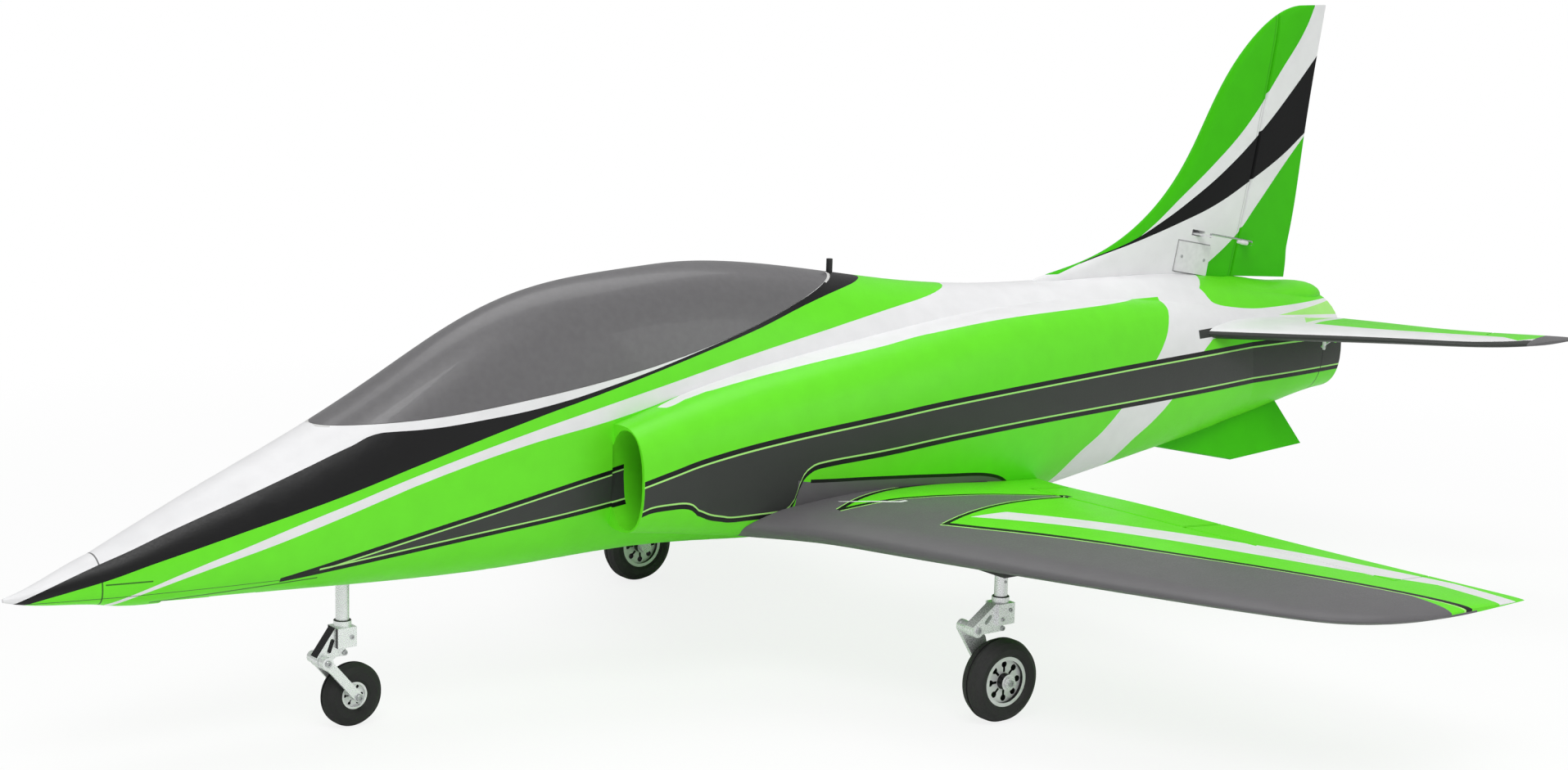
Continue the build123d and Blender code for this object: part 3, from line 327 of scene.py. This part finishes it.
def fuselage_paint():
    g = Graph("fuselage_paint")
    s, out, h, _ = g.axes()
    lines = {name: g.curve(s, points) for name, points in LINES.items()
             if not name.startswith("fin")}
    cheek_end = g.curve(h, SWEEP["cheek_end"])
    band_end = g.curve(h, SWEEP["band_end"])
    # the base green is the lighter copy, with painted light and sheen
    colour = LIT_GREEN

    # white nose stripe that widens into the spine
    stripe_start, spine_start = 64.0, 778.0
    stripe = g.both(g.over(h, lines["white_low"]),
                    g.either(g.under(h, lines["white_high"]), g.over(s, spine_start)),
                    g.over(s, stripe_start))
    colour = g.paint(colour, stripe, WHITE)

    # black band and white upper nose
    black_end, upper_end = 684.0, 647.5
    black = g.both(g.over(h, lines["black_low"]), g.under(s, black_end))
    colour = g.paint(colour, black, BLACK)
    upper = g.both(g.over(h, lines["black_high"]), g.under(s, upper_end))
    colour = g.paint(colour, upper, WHITE)

    # rear white band, and the white round the tailplane roots
    band_top, pod_start, pod_split = 214.5, 1013.0, 1080.0
    rear = g.both(g.over(s, cheek_end),
                  g.either(g.outside(g.under(h, band_top)), g.under(s, band_end)))
    colour = g.paint(colour, rear, WHITE)
    pod = g.both(g.over(h, lines["pod_low"]), g.over(s, pod_start),
                 g.either(g.under(h, lines["rudder_green"]), g.over(s, pod_split)))
    colour = g.paint(colour, pod, LIT_GREEN)

    # grey band along the side, in grey darkened as painted shade, with black and pale outlines
    band_start, cheek_out, intake_end, side_out = 427.4, 78.0, 480.0, 30.0
    body = g.both(g.over(s, band_start), g.either(g.over(out, cheek_out), g.over(s, intake_end)),
                  g.over(out, side_out))
    inside = g.both(g.under(h, lines["grey_high"]), g.over(h, lines["grey_low"]), body)
    colour = g.paint(colour, inside, SHADED_GREY)
    pad_start, pad_end, pad_foot, pad_out = 557.0, 775.0, 116.0, 60.0
    root = g.both(g.under(h, lines["pad_low"]), g.over(h, pad_foot),
                  g.between(s, pad_start, pad_end), g.over(out, pad_out))
    colour = g.paint(colour, root, GREY)
    edge_start, edge_rise, edge_half = 568.0, 0.6, 1.3
    pad_edge = g.both(g.near(h, g.math("ADD", lines["pad_low"], edge_rise), edge_half),
                      g.between(s, edge_start, pad_end), body)
    colour = g.paint(colour, pad_edge, BLACK)
    pale_half, black_half = 0.65, 1.7
    for name, step in (("grey_high", -2.6), ("grey_low", 2.6)):
        pale = g.both(g.near(h, g.math("ADD", lines[name], step), pale_half), body)
        colour = g.paint(colour, pale, PALE_GREEN)
        black = g.both(g.near(h, lines[name], black_half), body)
        colour = g.paint(colour, black, BLACK)

    # grey wedge on the nose side, ending inside the intake, in grey darkened as painted shade
    wedge_end, wedge_out, pale_start, point = 438.0, 70.0, 205.0, 178.0
    pale_half, black_half = 0.55, 1.4
    nose_side = g.both(g.under(s, wedge_end), g.under(out, wedge_out))
    wedge = g.both(g.under(h, lines["wedge_high"]), g.over(h, lines["wedge_low"]), nose_side)
    colour = g.paint(colour, wedge, SHADED_GREY)
    for name, step in (("wedge_high", -2.4), ("wedge_low", 2.2)):
        pale = g.both(g.near(h, g.math("ADD", lines[name], step), pale_half), nose_side,
                      g.over(s, pale_start))
        colour = g.paint(colour, pale, PALE_GREEN)
        black = g.both(g.near(h, lines[name], black_half), nose_side, g.over(s, point))
        colour = g.paint(colour, black, BLACK)

    # dark leading root, in grey darkened as painted shade, and pale trailing wedge beside the
    # tailplane
    root_height, root_half, root_start, root_end, root_out = 219.6, 3.4, 991.0, 1076.0, 38.0
    root_edge = g.both(g.near(h, root_height, root_half), g.between(s, root_start, root_end),
                       g.over(out, root_out))
    colour = g.paint(colour, root_edge, SHADED_GREY)
    point, point_height, point_out = 1098.0, 224.9, 22.0
    aft_of = g.math("SUBTRACT", s, point)
    root_wedge = g.both(g.over(h, g.slope(aft_of, -0.075, point_height)),
                        g.under(h, g.slope(aft_of, 0.06, point_height)),
                        g.over(s, point), g.over(out, point_out))
    colour = g.paint(colour, root_wedge, PALE_GREEN)

    # bare foam in the battery bay and on the sill that the hatch closes on
    bay = g.both(g.between(s, BAY_FRONT - BAY_MARGIN, BAY_BACK + BAY_MARGIN),
                 g.under(out, BAY_HALF_WIDTH + BAY_MARGIN), g.over(h, BAY_FLOOR - BAY_MARGIN))
    facing_up, sill_half = 0.8, 1.0
    sill = g.both(g.near(h, g.curve(s, SILL), sill_half), g.between(s, SILL[0][0], SILL[-1][0]),
                  g.over(g.split(g.normal)[2], facing_up))
    colour = g.paint(colour, g.either(bay, sill), BARE_FOAM)

    # seams: nose block, equipment panels and tail pipe ring
    line_half = 0.5
    seam = g.near(s, 60.0, line_half)
    ring = g.both(g.near(s, 1148.0, line_half), g.under(h, 214.0))
    panel = g.either(
        g.both(g.near(h, 128.5, line_half), g.between(s, 62.0, 92.0)),
        g.both(g.near(h, g.slope(s, 0.045, 108.6), 0.45), g.between(s, 92.0, 205.0)))
    shaded = g.paint(colour, SEAM_SHADE, BLACK)
    colour = g.paint(colour, g.either(seam, ring, panel), shaded)
    foam_finish(g, colour, 0.38, 0.30)
    return g.material


def fin_paint():
    g = Graph("fin_paint")
    s, _, h, side = g.axes()
    lines = {name: g.curve(s, LINES[name]) for name in
             ("fin_green", "fin_black_high", "fin_black_low", "rudder_green")}
    # the fin's green is the darker copy, with painted shade
    colour = g.paint(WHITE, g.over(h, lines["fin_green"]), SHADED_GREEN)
    band_start, green_start = 905.0, 1014.0
    band = g.both(g.under(h, lines["fin_black_high"]), g.over(h, lines["fin_black_low"]),
                  g.over(s, band_start))
    colour = g.paint(colour, band, BLACK)
    lower = g.both(g.under(h, lines["rudder_green"]), g.over(s, green_start))
    colour = g.paint(colour, lower, SHADED_GREEN)

    # painted shadow line round the rudder servo's cover, drawn square to the hinge
    low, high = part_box("rudder_servo")
    middle_s = (low[0] + high[0]) / 2 * MM_PER_METRE - NOSE_X * MM_PER_METRE
    middle_h = (low[2] + high[2]) / 2 * MM_PER_METRE
    from_s = g.math("SUBTRACT", s, middle_s)
    from_h = g.math("SUBTRACT", h, middle_h)
    hinge = Vector(JOINTS["rudder_hinge"]["axis"])
    across = g.math("ABSOLUTE", g.math("SUBTRACT", g.math("MULTIPLY", from_s, hinge.z),
                                       g.math("MULTIPLY", from_h, hinge.x)))
    along = g.math("ABSOLUTE", g.math("ADD", g.math("MULTIPLY", from_s, hinge.x),
                                      g.math("MULTIPLY", from_h, hinge.z)))
    half_long, half_wide, gap = COVER_LENGTH / 2, COVER_WIDTH / 2, 0.45
    seam = g.either(
        g.both(g.near(across, half_long + gap, gap), g.under(along, half_wide + 2 * gap)),
        g.both(g.near(along, half_wide + gap, gap), g.under(across, half_long + 2 * gap)))
    shaded = g.paint(colour, COVER_SEAM_SHADE, BLACK)
    colour = g.paint(colour, g.both(seam, g.under(side, 0.0)), shaded)

    # painted shade in the moulded hinge groove just ahead of the rudder
    lean = 44.0 / 224.0
    foot_station, foot_height, ahead, groove_half = 1072.0, 250.0, 2.6, 0.5
    groove = g.near(s, g.slope(h, lean, foot_station - foot_height * lean - ahead), groove_half)
    shaded = g.paint(colour, GROOVE_SHADE, BLACK)
    colour = g.paint(colour, groove, shaded)
    foam_finish(g, colour, 0.42, 0.14)
    return g.material


def wing_paint():
    g = Graph("wing_paint")
    s, out, h, _ = g.axes()
    top = g.over(h, WING_SKIN)
    band = g.curve(out, WING_LINES["band"])
    outer_line = g.curve(s, WING_LINES["sw2_top"])
    swoosh_back = g.curve(s, WING_LINES["sw1_low"])
    swoosh_front = g.curve(s, WING_LINES["sw1_top"])
    outer_start, swoosh_start, swoosh_end = 617.0, 577.0, 745.0
    all_green, root_width = 775.0, 100.0

    outer = g.both(g.over(s, band), g.over(out, outer_line), g.over(s, outer_start))
    swoosh = g.both(g.over(out, swoosh_front), g.under(out, swoosh_back), g.over(s, swoosh_start))
    late = g.either(g.over(s, all_green), g.both(g.over(s, swoosh_end), g.under(out, root_width)))
    green = g.either(outer, swoosh, late)
    # green in the lighter copy, with painted light and sheen
    colour = g.paint(GREY, g.both(green, top), LIT_GREEN)
    under_green = g.over(s, g.curve(out, WING_LINES["under_green"]))
    colour = g.paint(colour, g.both(under_green, g.outside(top)), LIT_GREEN)

    # spanwise white stripe
    stripe_out = 186.0
    stripe = g.both(g.under(s, g.curve(out, WING_LINES["white_back"])),
                    g.over(s, g.curve(out, WING_LINES["white_front"])),
                    g.over(out, stripe_out), top)
    colour = g.paint(colour, stripe, WHITE)

    # outlines: a pale line on the grey side of each black one
    pale_away, pale_half, black_half, narrow = -3.6, 1.1, 2.9, 0.62
    outlines = [
        (g.math("SUBTRACT", s, band), g.both(g.over(out, 186.5), top), 1.0),
        (g.math("SUBTRACT", out, outer_line), g.both(g.between(s, 616.0, 776.0), top), narrow),
        (g.math("SUBTRACT", swoosh_back, out), g.both(g.between(s, 577.0, 776.0), top), narrow),
        (g.math("SUBTRACT", out, swoosh_front), g.both(g.between(s, 577.0, 745.0), top), narrow),
    ]
    for distance, where, scale in outlines:
        pale = g.both(g.near(distance, pale_away * scale, pale_half * scale), where)
        colour = g.paint(colour, pale, PALE_GREEN)
    for distance, where, scale in outlines:
        black = g.both(g.near(distance, 0.0, black_half * scale), where)
        colour = g.paint(colour, black, BLACK)

    # thin white streak near the root
    streak_start, full_length, streak_end = 588.0, 624.0, 630.0
    along = g.spread(s, streak_start, full_length, 0.0, 1.0)
    middle = g.slope(along, 26.0, 102.0)
    widest = g.math("ABSOLUTE", g.math("SUBTRACT", along, 0.75))
    width = g.slope(widest, -1.6, 1.9)
    streak = g.both(g.near(out, middle, width), g.between(s, streak_start, streak_end), top)
    colour = g.paint(colour, streak, WHITE)
    foam_finish(g, colour, 0.36, 0.20)
    return g.material


def tail_paint():
    g = Graph("tail_paint")
    s, out, h, _ = g.axes()
    skin = g.over(h, TAIL_SKIN)
    front = g.curve(out, TAIL_LINES["wedge_front"])
    slanted = g.slope(s, 0.45, out)
    wedge_step, wedge_inner, wedge_tip = 4.0, 574.0, 205.0
    wedge = g.both(g.over(s, g.math("ADD", front, wedge_step)), g.over(slanted, wedge_inner),
                   g.under(out, wedge_tip), skin)
    # green wedges in the lighter copy, with painted light and sheen
    colour = g.paint(WHITE, wedge, LIT_GREEN)
    # painted highlight: the inner rear of the tailplane is painted pale green, standing for light
    # that washes the green out
    root_line, pale_outer = 1166.0, 566.0
    inner = g.both(g.over(s, g.slope(out, -1.0, root_line)), g.under(slanted, pale_outer), skin)
    colour = g.paint(colour, inner, PALE_GREEN)

    edge_width, edge_top, tip_line = 16.0, 221.0, 755.0
    edge = g.math("ADD", g.curve(out, TAIL_LINES["edge"]), edge_width)
    # grey leading edge, darkened as painted shade
    leading = g.both(g.under(h, edge_top), g.under(s, edge))
    colour = g.paint(colour, leading, SHADED_GREY)
    colour = g.paint(colour, g.both(g.outside(skin), g.over(s, edge)), LIT_GREEN)
    colour = g.paint(colour, g.over(slanted, tip_line), GREY)
    foam_finish(g, colour, 0.36, 0.20)
    return g.material


# green foam in the darker copy of the green, with painted shade
def shaded_green_foam():
    g = Graph("green_foam")
    foam_finish(g, SHADED_GREEN, 0.42, 0.14)
    return g.material


def plain(name, colour, roughness, metallic=0.0, bump=0.05, fineness=900.0, coat=0.0):
    g = Graph(name)
    mottle = g.grain(fineness * 0.2, 3.0, 0.0, 1.0)
    g.set("Base Color", g.paint(tuple(c * 0.9 for c in colour), mottle, colour))
    g.set("Roughness", g.grain(fineness, 2.0, roughness - 0.05, roughness + 0.05))
    g.set("Metallic", metallic)
    g.set("Coat Weight", coat)
    g.bump(g.noise(fineness * 1.5, 2.0), bump, 0.0003)
    return g.material


def machined(graph, colour, rough_low, rough_high, metallic):
    """Satin metal with fine machining lines."""
    graph.set("Base Color", colour)
    graph.set("Roughness", graph.grain(1500.0, 2.0, rough_low, rough_high))
    graph.set("Metallic", metallic)
    graph.bump(graph.noise(2200.0, 2.0), 0.02, 0.0001)


def strut_finish(name, dark_front):
    """Satin aluminium; the nose bracket's front edge is anodised black."""
    g = Graph(name)
    silver = g.paint((0.82, 0.83, 0.845), g.grain(500.0, 2.0, 0.0, 1.0), (0.87, 0.875, 0.885))
    if dark_front:
        s, _, h, _ = g.axes()
        facing_x, _, facing_z = g.split(g.normal)
        bracket_end, bracket_foot, bracket_top = 234.5, 52.0, 72.5
        front = g.both(g.under(facing_x, -0.45), g.under(s, bracket_end),
                       g.between(h, bracket_foot, bracket_top), g.over(facing_z, -0.2))
        silver = g.paint(silver, front, (0.010, 0.010, 0.011))
    machined(g, silver, 0.22, 0.34, 0.5)
    return g.material


def hub_finish():
    """Cast hub metal, bright on its faces, with painted shade: the walls of the lightening holes
    are painted nearly black.
    """
    g = Graph("hub_metal")
    s, out, h, _ = g.axes()
    across = g.under(g.math("ABSOLUTE", g.split(g.normal)[1]), 0.6)
    metal = g.paint((0.82, 0.825, 0.835), g.grain(500.0, 2.0, 0.0, 1.0), (0.86, 0.865, 0.875))
    nose_or_main = 100.0
    for joint, low, high, where in (
            ("main_wheel_spin_port", 5.0, 15.4, g.over(out, nose_or_main)),
            ("nose_wheel_spin", 3.6, 8.2, g.under(out, nose_or_main))):
        x, _, z = (value * MM_PER_METRE for value in JOINTS[joint]["pos_m"])
        along = g.math("POWER", g.math("SUBTRACT", s, x - NOSE_X * MM_PER_METRE), 2.0)
        upward = g.math("POWER", g.math("SUBTRACT", h, z), 2.0)
        radius = g.math("SQRT", g.math("ADD", along, upward))
        # painted shade: the walls of the lightening holes are painted nearly black
        holes = g.both(across, where, g.between(radius, low, high))
        metal = g.paint(metal, holes, (0.012, 0.012, 0.013))
    machined(g, metal, 0.32, 0.44, 0.4)
    return g.material


def grooved_tyre():
    """Main tyre rubber with fine grooves running round the tread."""
    g = Graph("tyre_rubber_grooved")
    _, out, _, _ = g.axes()
    g.set("Base Color", g.paint((0.014, 0.014, 0.014), g.noise(400.0), (0.024, 0.024, 0.023)))
    g.set("Roughness", g.grain(1800.0, 2.0, 0.60, 0.75))
    middle = abs(JOINTS["main_wheel_spin_port"]["pos_m"][1]) * MM_PER_METRE
    pitch, groove_half = 2.4, 0.28
    grooves = g.either(*(g.near(out, middle + step * pitch, groove_half)
                         for step in (-2, -1, 0, 1, 2)))
    relief = g.math("SUBTRACT", g.math("MULTIPLY", g.noise(1800.0), 0.3), grooves)
    g.bump(relief, 0.6, 0.0006)
    return g.material


MATERIALS = {
    "green": shaded_green_foam(),
    "fuselage": fuselage_paint(),
    "fin": fin_paint(),
    "wing": wing_paint(),
    "tail": tail_paint(),
    "canopy": plain("canopy_grey", GREY, 0.36, coat=0.15, bump=0.03),
    "black": plain("black_plastic", (0.02, 0.02, 0.021), 0.5),
    "wrap": plain("battery_wrap", (0.02, 0.06, 0.22), 0.35),
    "strap": plain("strap_webbing", (0.02, 0.02, 0.02), 0.9, fineness=2000),
    "ply": plain("plywood", (0.50, 0.35, 0.18), 0.7, fineness=300),
    "steel": plain("motor_metal", (0.45, 0.46, 0.48), 0.35, metallic=1.0),
    "carbon": plain("carbon_tube", (0.02, 0.02, 0.022), 0.35),
    "strut": strut_finish("strut_metal", False),
    "nose_strut": strut_finish("nose_strut_metal", True),
    "grooved": grooved_tyre(),
    "screw": plain("screw_steel", (0.50, 0.505, 0.52), 0.34, metallic=0.8, fineness=1500),
    "hub": hub_finish(),
    "white_part": plain("white_plastic", (0.78, 0.78, 0.79), 0.42, fineness=1200),
    "wire": plain("steel_wire", (0.55, 0.56, 0.58), 0.30, metallic=1.0, fineness=1500),
    "tyre": plain("tyre_rubber", (0.014, 0.014, 0.014), 0.75, fineness=1800, bump=0.15),
}
# The material of each body by its whole name, then by the first part of a name that fits.
KINDS = {
    "fuselage": "fuselage", "nose_cone": "fuselage", "canopy_hatch": "canopy",
    "hatch_latch": "black", "battery_pack": "wrap", "battery_straps": "strap",
    "battery_tray": "ply", "receiver": "black", "speed_controller": "black",
    "rudder_servo": "white_part", "tail_servos": "white_part", "wing_servos": "white_part",
    "rudder_arm": "white_part", "rudder_pushrod": "wire", "fan_housing": "black",
    "fan_rotor": "black", "fan_motor": "steel", "exhaust_nozzle": "black",
    "wing_spar": "carbon", "nose_retract_unit": "black", "nose_trunnion": "strut",
    "nose_leg": "nose_strut", "nose_link": "strut", "nose_hub": "hub", "nose_tyre": "tyre",
    "fin": "fin", "rudder": "fin",
}
KINDS_BY_PART = (
    ("main_leg", "strut"), ("main_link", "strut"), ("main_hub", "hub"), ("main_tyre", "grooved"),
    ("main_retract", "black"), ("_arm_", "white_part"), ("_pushrod_", "wire"), ("wing", "wing"),
    ("flap", "wing"), ("aileron", "wing"), ("tailplane", "tail"), ("elevator", "tail"),
)


def kind_of(node):
    if node in KINDS:
        return KINDS[node]
    for part, kind in KINDS_BY_PART:
        if part in node:
            return kind
    return "green"


for node, piece in NODES.items():
    material = MATERIALS[kind_of(node)]
    if not piece.material_slots:
        piece.data.materials.append(material)
    for entry in piece.material_slots:
        entry.link = "OBJECT"
        entry.material = material

# ---------------------------------------------------------------- small hardware
LATHE_STEPS = 24
HEXAGON_SIDES = 6


def lathe(name, profile, hexagon=None):
    """Turn (radius, height) points round Z; rings from `hexagon` on are six-sided."""
    form = bmesh.new()
    rings = []
    sector = 2 * math.pi / HEXAGON_SIDES
    for index, (radius, height) in enumerate(profile):
        ring = []
        for step in range(LATHE_STEPS):
            angle = 2 * math.pi * step / LATHE_STEPS
            reach = radius
            if hexagon is not None and index >= hexagon:
                reach = radius * math.cos(sector / 2) / math.cos((angle % sector) - sector / 2)
            corner = (reach * math.cos(angle), reach * math.sin(angle), height)
            ring.append(form.verts.new(corner))
        rings.append(ring)
    for lower, upper in zip(rings, rings[1:]):
        for step in range(LATHE_STEPS):
            after = (step + 1) % LATHE_STEPS
            form.faces.new((lower[step], lower[after], upper[after], upper[step]))
    form.faces.new(list(reversed(rings[0])))
    form.faces.new(rings[-1])
    bmesh.ops.recalc_face_normals(form, faces=form.faces)
    mesh = bpy.data.meshes.new(name)
    form.to_mesh(mesh)
    form.free()
    piece = bpy.data.objects.new(name, mesh)
    bpy.context.scene.collection.objects.link(piece)
    return piece


def place_along(piece, seat, direction):
    """Move the mesh from the origin to `seat`, with its Z turned to `direction`."""
    turn = Vector(direction).to_track_quat("Z", "Y").to_matrix().to_4x4()
    piece.data.transform(Matrix.Translation(Vector(seat)) @ turn)


def fit(piece, body, kind):
    piece.data.materials.append(MATERIALS[kind])
    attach(piece, body)


def socket_screw(name, body, seat, direction, radius, height):
    """A cap screw with a hexagonal socket, standing on `seat` (metres), sized in millimetres."""
    chamfer, socket, socket_floor, sink = 0.15, 0.55, 0.35, 0.2
    r, t = radius / MM_PER_METRE, height / MM_PER_METRE
    edge = chamfer * t
    piece = lathe(name, [(r, -sink / MM_PER_METRE), (r, t - edge), (r - edge, t),
                         (socket * r, t), (socket * r, socket_floor * t)], hexagon=3)
    place_along(piece, seat, direction)
    fit(piece, body, "screw")


def seal_ring(name, body, centre, radius):
    """The dark wiper ring where a strut tube enters its collar."""
    bulge, half = 1.6, 0.45
    r, k = radius / MM_PER_METRE, half / MM_PER_METRE
    piece = lathe(name, [(r - k, -k), (r + k, -k), (r + bulge * k, 0.0), (r + k, k), (r - k, k)])
    piece.data.transform(Matrix.Translation(Vector(centre)))
    fit(piece, body, "black")


def beside(joint, along=0.0, out=0.0, up=0.0):
    """A place in metres, given in millimetres from a joint."""
    x, y, z = JOINTS[joint]["pos_m"]
    return (x + along / MM_PER_METRE, y + out / MM_PER_METRE, z + up / MM_PER_METRE)


# Sizes of the gear, from the knee's pin or the middle of the wheel.
TUBE_RADIUS = 4.7
WIPER_RADIUS = TUBE_RADIUS + 0.6
CLAMP_HALF = 7.3
CLAMP_SCREW_STEP = 3.5
LUG_HALF = 4.5
EYE_HALF = 3.4
NOSE_LINK_OUT = 11.7
NOSE_AXLE_OUT = NOSE_LINK_OUT + 0.8
NOSE_TUBE_AFT = 17.0
NOSE_COLLAR_UP = 26.0
MAIN_TUBE_AFT = 23.0
MAIN_LINK_OUT = 14.2
MAIN_AXLE_OUT = 12.2
MAIN_COLLAR_UP = 21.0

# Name, body and joint, then aft, out and up of the joint, then radius and height. A name that
# ends in _ gets the side, and a screw that sits inside its joint faces inward.
GEAR_SCREWS = (
    ("nose_knee_screw_", "nose_leg", "nose_suspension", 0, NOSE_LINK_OUT, 0, 2.3, 1.3),
    ("nose_shock_screw_", "nose_leg", "nose_suspension", NOSE_TUBE_AFT, EYE_HALF, 3.6, 1.9, 1.0),
    ("nose_clamp_screw_", "nose_leg", "nose_suspension",
     NOSE_TUBE_AFT + CLAMP_SCREW_STEP, CLAMP_HALF, 15.0, 1.6, 0.7),
    ("nose_axle_screw_", "nose_link", "nose_wheel_spin", 0, NOSE_AXLE_OUT, 0, 2.6, 1.3),
    ("main_knee_screw_", "main_leg_", "main_suspension_", 0, LUG_HALF, 0, 2.4, 1.1),
    ("main_pin_screw_", "main_leg_", "main_suspension_", 0, -MAIN_LINK_OUT, 0, 2.6, 1.1),
    ("main_shock_screw_", "main_leg_", "main_suspension_",
     MAIN_TUBE_AFT, EYE_HALF, -1.6, 1.8, 1.0),
    ("main_clamp_screw_front_", "main_leg_", "main_suspension_",
     MAIN_TUBE_AFT - CLAMP_SCREW_STEP, CLAMP_HALF, 6.0, 1.5, 0.7),
    ("main_clamp_screw_rear_", "main_leg_", "main_suspension_",
     MAIN_TUBE_AFT + CLAMP_SCREW_STEP, CLAMP_HALF, 12.0, 1.5, 0.7),
    ("main_tube_screw_", "main_leg_", "main_suspension_",
     MAIN_TUBE_AFT, TUBE_RADIUS - 0.1, 32.0, 1.1, 0.5),
    ("main_axle_screw_", "main_link_", "main_wheel_spin_", 0, MAIN_AXLE_OUT, 0, 2.4, 1.2),
)
for side, label in ((-1, "port"), (1, "starboard")):
    for name, body, joint, aft, out, up, radius, height in GEAR_SCREWS:
        name, body, joint = (text + label if text.endswith("_") else text
                             for text in (name, body, joint))
        facing = (0, side if out > 0 else -side, 0)
        socket_screw(name, body, beside(joint, aft, side * out, up), facing, radius, height)
    seal_ring("main_wiper_" + label, "main_leg_" + label,
              beside("main_suspension_" + label, MAIN_TUBE_AFT, 0, MAIN_COLLAR_UP), WIPER_RADIUS)
seal_ring("nose_wiper", "nose_leg",
          beside("nose_suspension", NOSE_TUBE_AFT, 0, NOSE_COLLAR_UP), WIPER_RADIUS)

# rudder servo cover screws and the clevis on the rudder pushrod, square to the hinge
COVER_SCREW_STEP = 13.0
CLEVIS_START = 32.0
CLEVIS_PROFILE = ((0.9, 0.0), (1.5, 0.6), (1.5, 4.0), (1.9, 4.6), (1.9, 11.0), (1.2, 12.0))
hinge_up = Vector(JOINTS["rudder_hinge"]["axis"])
hinge_aft = Vector((hinge_up.z, 0.0, -hinge_up.x))
low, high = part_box("rudder_servo")
cover_middle = Vector(((low[0] + high[0]) / 2, low[1], (low[2] + high[2]) / 2))
for name, along in (("front", -COVER_SCREW_STEP), ("rear", COVER_SCREW_STEP)):
    seat = cover_middle + hinge_aft * (along / MM_PER_METRE)
    socket_screw("cover_screw_" + name, "airframe", seat, (0, -1, 0), 1.3, 0.4)
rod_start = Vector(JOINTS["rudder_pushrod_pivot"]["pos_m"])
clevis = lathe("rudder_clevis", [(r / MM_PER_METRE, z / MM_PER_METRE) for r, z in CLEVIS_PROFILE])
place_along(clevis, rod_start + hinge_aft * (CLEVIS_START / MM_PER_METRE), hinge_aft)
fit(clevis, "rudder_pushrod", "white_part")

# ---------------------------------------------------------------- stage, metres
FLOOR_REACH = 9.0
FADE_START, FADE_END = 0.7, 1.3
WORLD_LIGHT = 0.42

# the camera sees a mostly plain white floor, with a light trace of the real shadows
floor_paint = Graph("floor_white")
floor_paint.set("Base Color", (0.92, 0.92, 0.92, 1))
floor_paint.set("Roughness", 0.9)
floor_paint.set("Specular IOR Level", 0.0)
mesh = bpy.data.meshes.new("floor")
mesh.from_pydata([(-FLOOR_REACH, -FLOOR_REACH, 0), (FLOOR_REACH, -FLOOR_REACH, 0),
                  (FLOOR_REACH, FLOOR_REACH, 0), (-FLOOR_REACH, FLOOR_REACH, 0)],
                 [], [(0, 1, 2, 3)])
mesh.materials.append(floor_paint.material)
floor = bpy.data.objects.new("floor", mesh)
bpy.context.scene.collection.objects.link(floor)
floor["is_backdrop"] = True

x, y, _ = floor_paint.split(floor_paint.object)
distance = floor_paint.math("SQRT", floor_paint.math(
    "ADD", floor_paint.math("POWER", x, 2.0), floor_paint.math("POWER", y, 2.0)))
fade = floor_paint.spread(distance, FADE_START, FADE_END, FLOOR_WHITE, 1.0)
seen = floor_paint.new("ShaderNodeLightPath").outputs["Is Camera Ray"]
backdrop = floor_paint.new("ShaderNodeEmission")
backdrop.inputs["Color"].default_value = (1, 1, 1, 1)
backdrop.inputs["Strength"].default_value = 1.0
mixing = floor_paint.new("ShaderNodeMixShader")
floor_paint.join(floor_paint.math("MULTIPLY", fade, seen), mixing.inputs[0])
floor_paint.join(floor_paint.shader.outputs[0], mixing.inputs[1])
floor_paint.join(backdrop.outputs[0], mixing.inputs[2])
floor_paint.join(mixing.outputs[0], floor_paint.nodes["Material Output"].inputs["Surface"])

# the world is plain white to the camera and dimmer as a light
world = bpy.data.worlds.new("studio")
bpy.context.scene.world = world
world.use_nodes = True
world_tree = world.node_tree
background = world_tree.nodes["Background"]
background.inputs["Color"].default_value = (1, 1, 1, 1)
light_path = world_tree.nodes.new("ShaderNodeLightPath")
strength = world_tree.nodes.new("ShaderNodeMix")
strength.inputs[2].default_value = WORLD_LIGHT
strength.inputs[3].default_value = 1.0
world_tree.links.new(light_path.outputs["Is Camera Ray"], strength.inputs[0])
world_tree.links.new(strength.outputs[0], background.inputs["Strength"])


def soft_light(name, place, aim, size, power):
    data = bpy.data.lights.new(name, "AREA")
    data.shape = "RECTANGLE"
    data.size, data.size_y = size
    data.energy = power
    lamp = bpy.data.objects.new(name, data)
    lamp.location = place
    lamp.rotation_euler = (Vector(aim) - Vector(place)).to_track_quat("-Z", "Y").to_euler()
    bpy.context.scene.collection.objects.link(lamp)


soft_light("key_softbox", (-1.2, -1.6, 2.6), (0, 0, 0.2), (1.8, 1.2), 43)
soft_light("top_softbox", (0.4, 0.6, 2.8), (0, 0, 0.2), (2.6, 1.6), 29)
soft_light("side_softbox", (1.8, -2.4, 1.2), (0.2, 0, 0.2), (1.2, 1.2), 8)

# ---------------------------------------------------------------- camera, metres
CAMERA_PLACE = Vector((-1.3257, -1.7416, 0.6231))
CAMERA_FORWARD = Vector((0.5892, 0.7856, -0.1888)).normalized()
CAMERA_RIGHT = Vector((0.8027, -0.5958, 0.0261))
SENSOR_WIDTH, LENS = 36.0, 68.0

right = (CAMERA_RIGHT - CAMERA_FORWARD * CAMERA_RIGHT.dot(CAMERA_FORWARD)).normalized()
camera_data = bpy.data.cameras.new("camera")
camera_data.sensor_fit = "HORIZONTAL"
camera_data.sensor_width = SENSOR_WIDTH
camera_data.lens = LENS
camera = bpy.data.objects.new("camera", camera_data)
stand = Matrix((right, right.cross(CAMERA_FORWARD), -CAMERA_FORWARD)).transposed().to_4x4()
stand.translation = CAMERA_PLACE
camera.matrix_world = stand
bpy.context.scene.collection.objects.link(camera)
bpy.context.scene.camera = camera

bpy.context.scene.view_settings.view_transform = "Standard"

low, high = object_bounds()
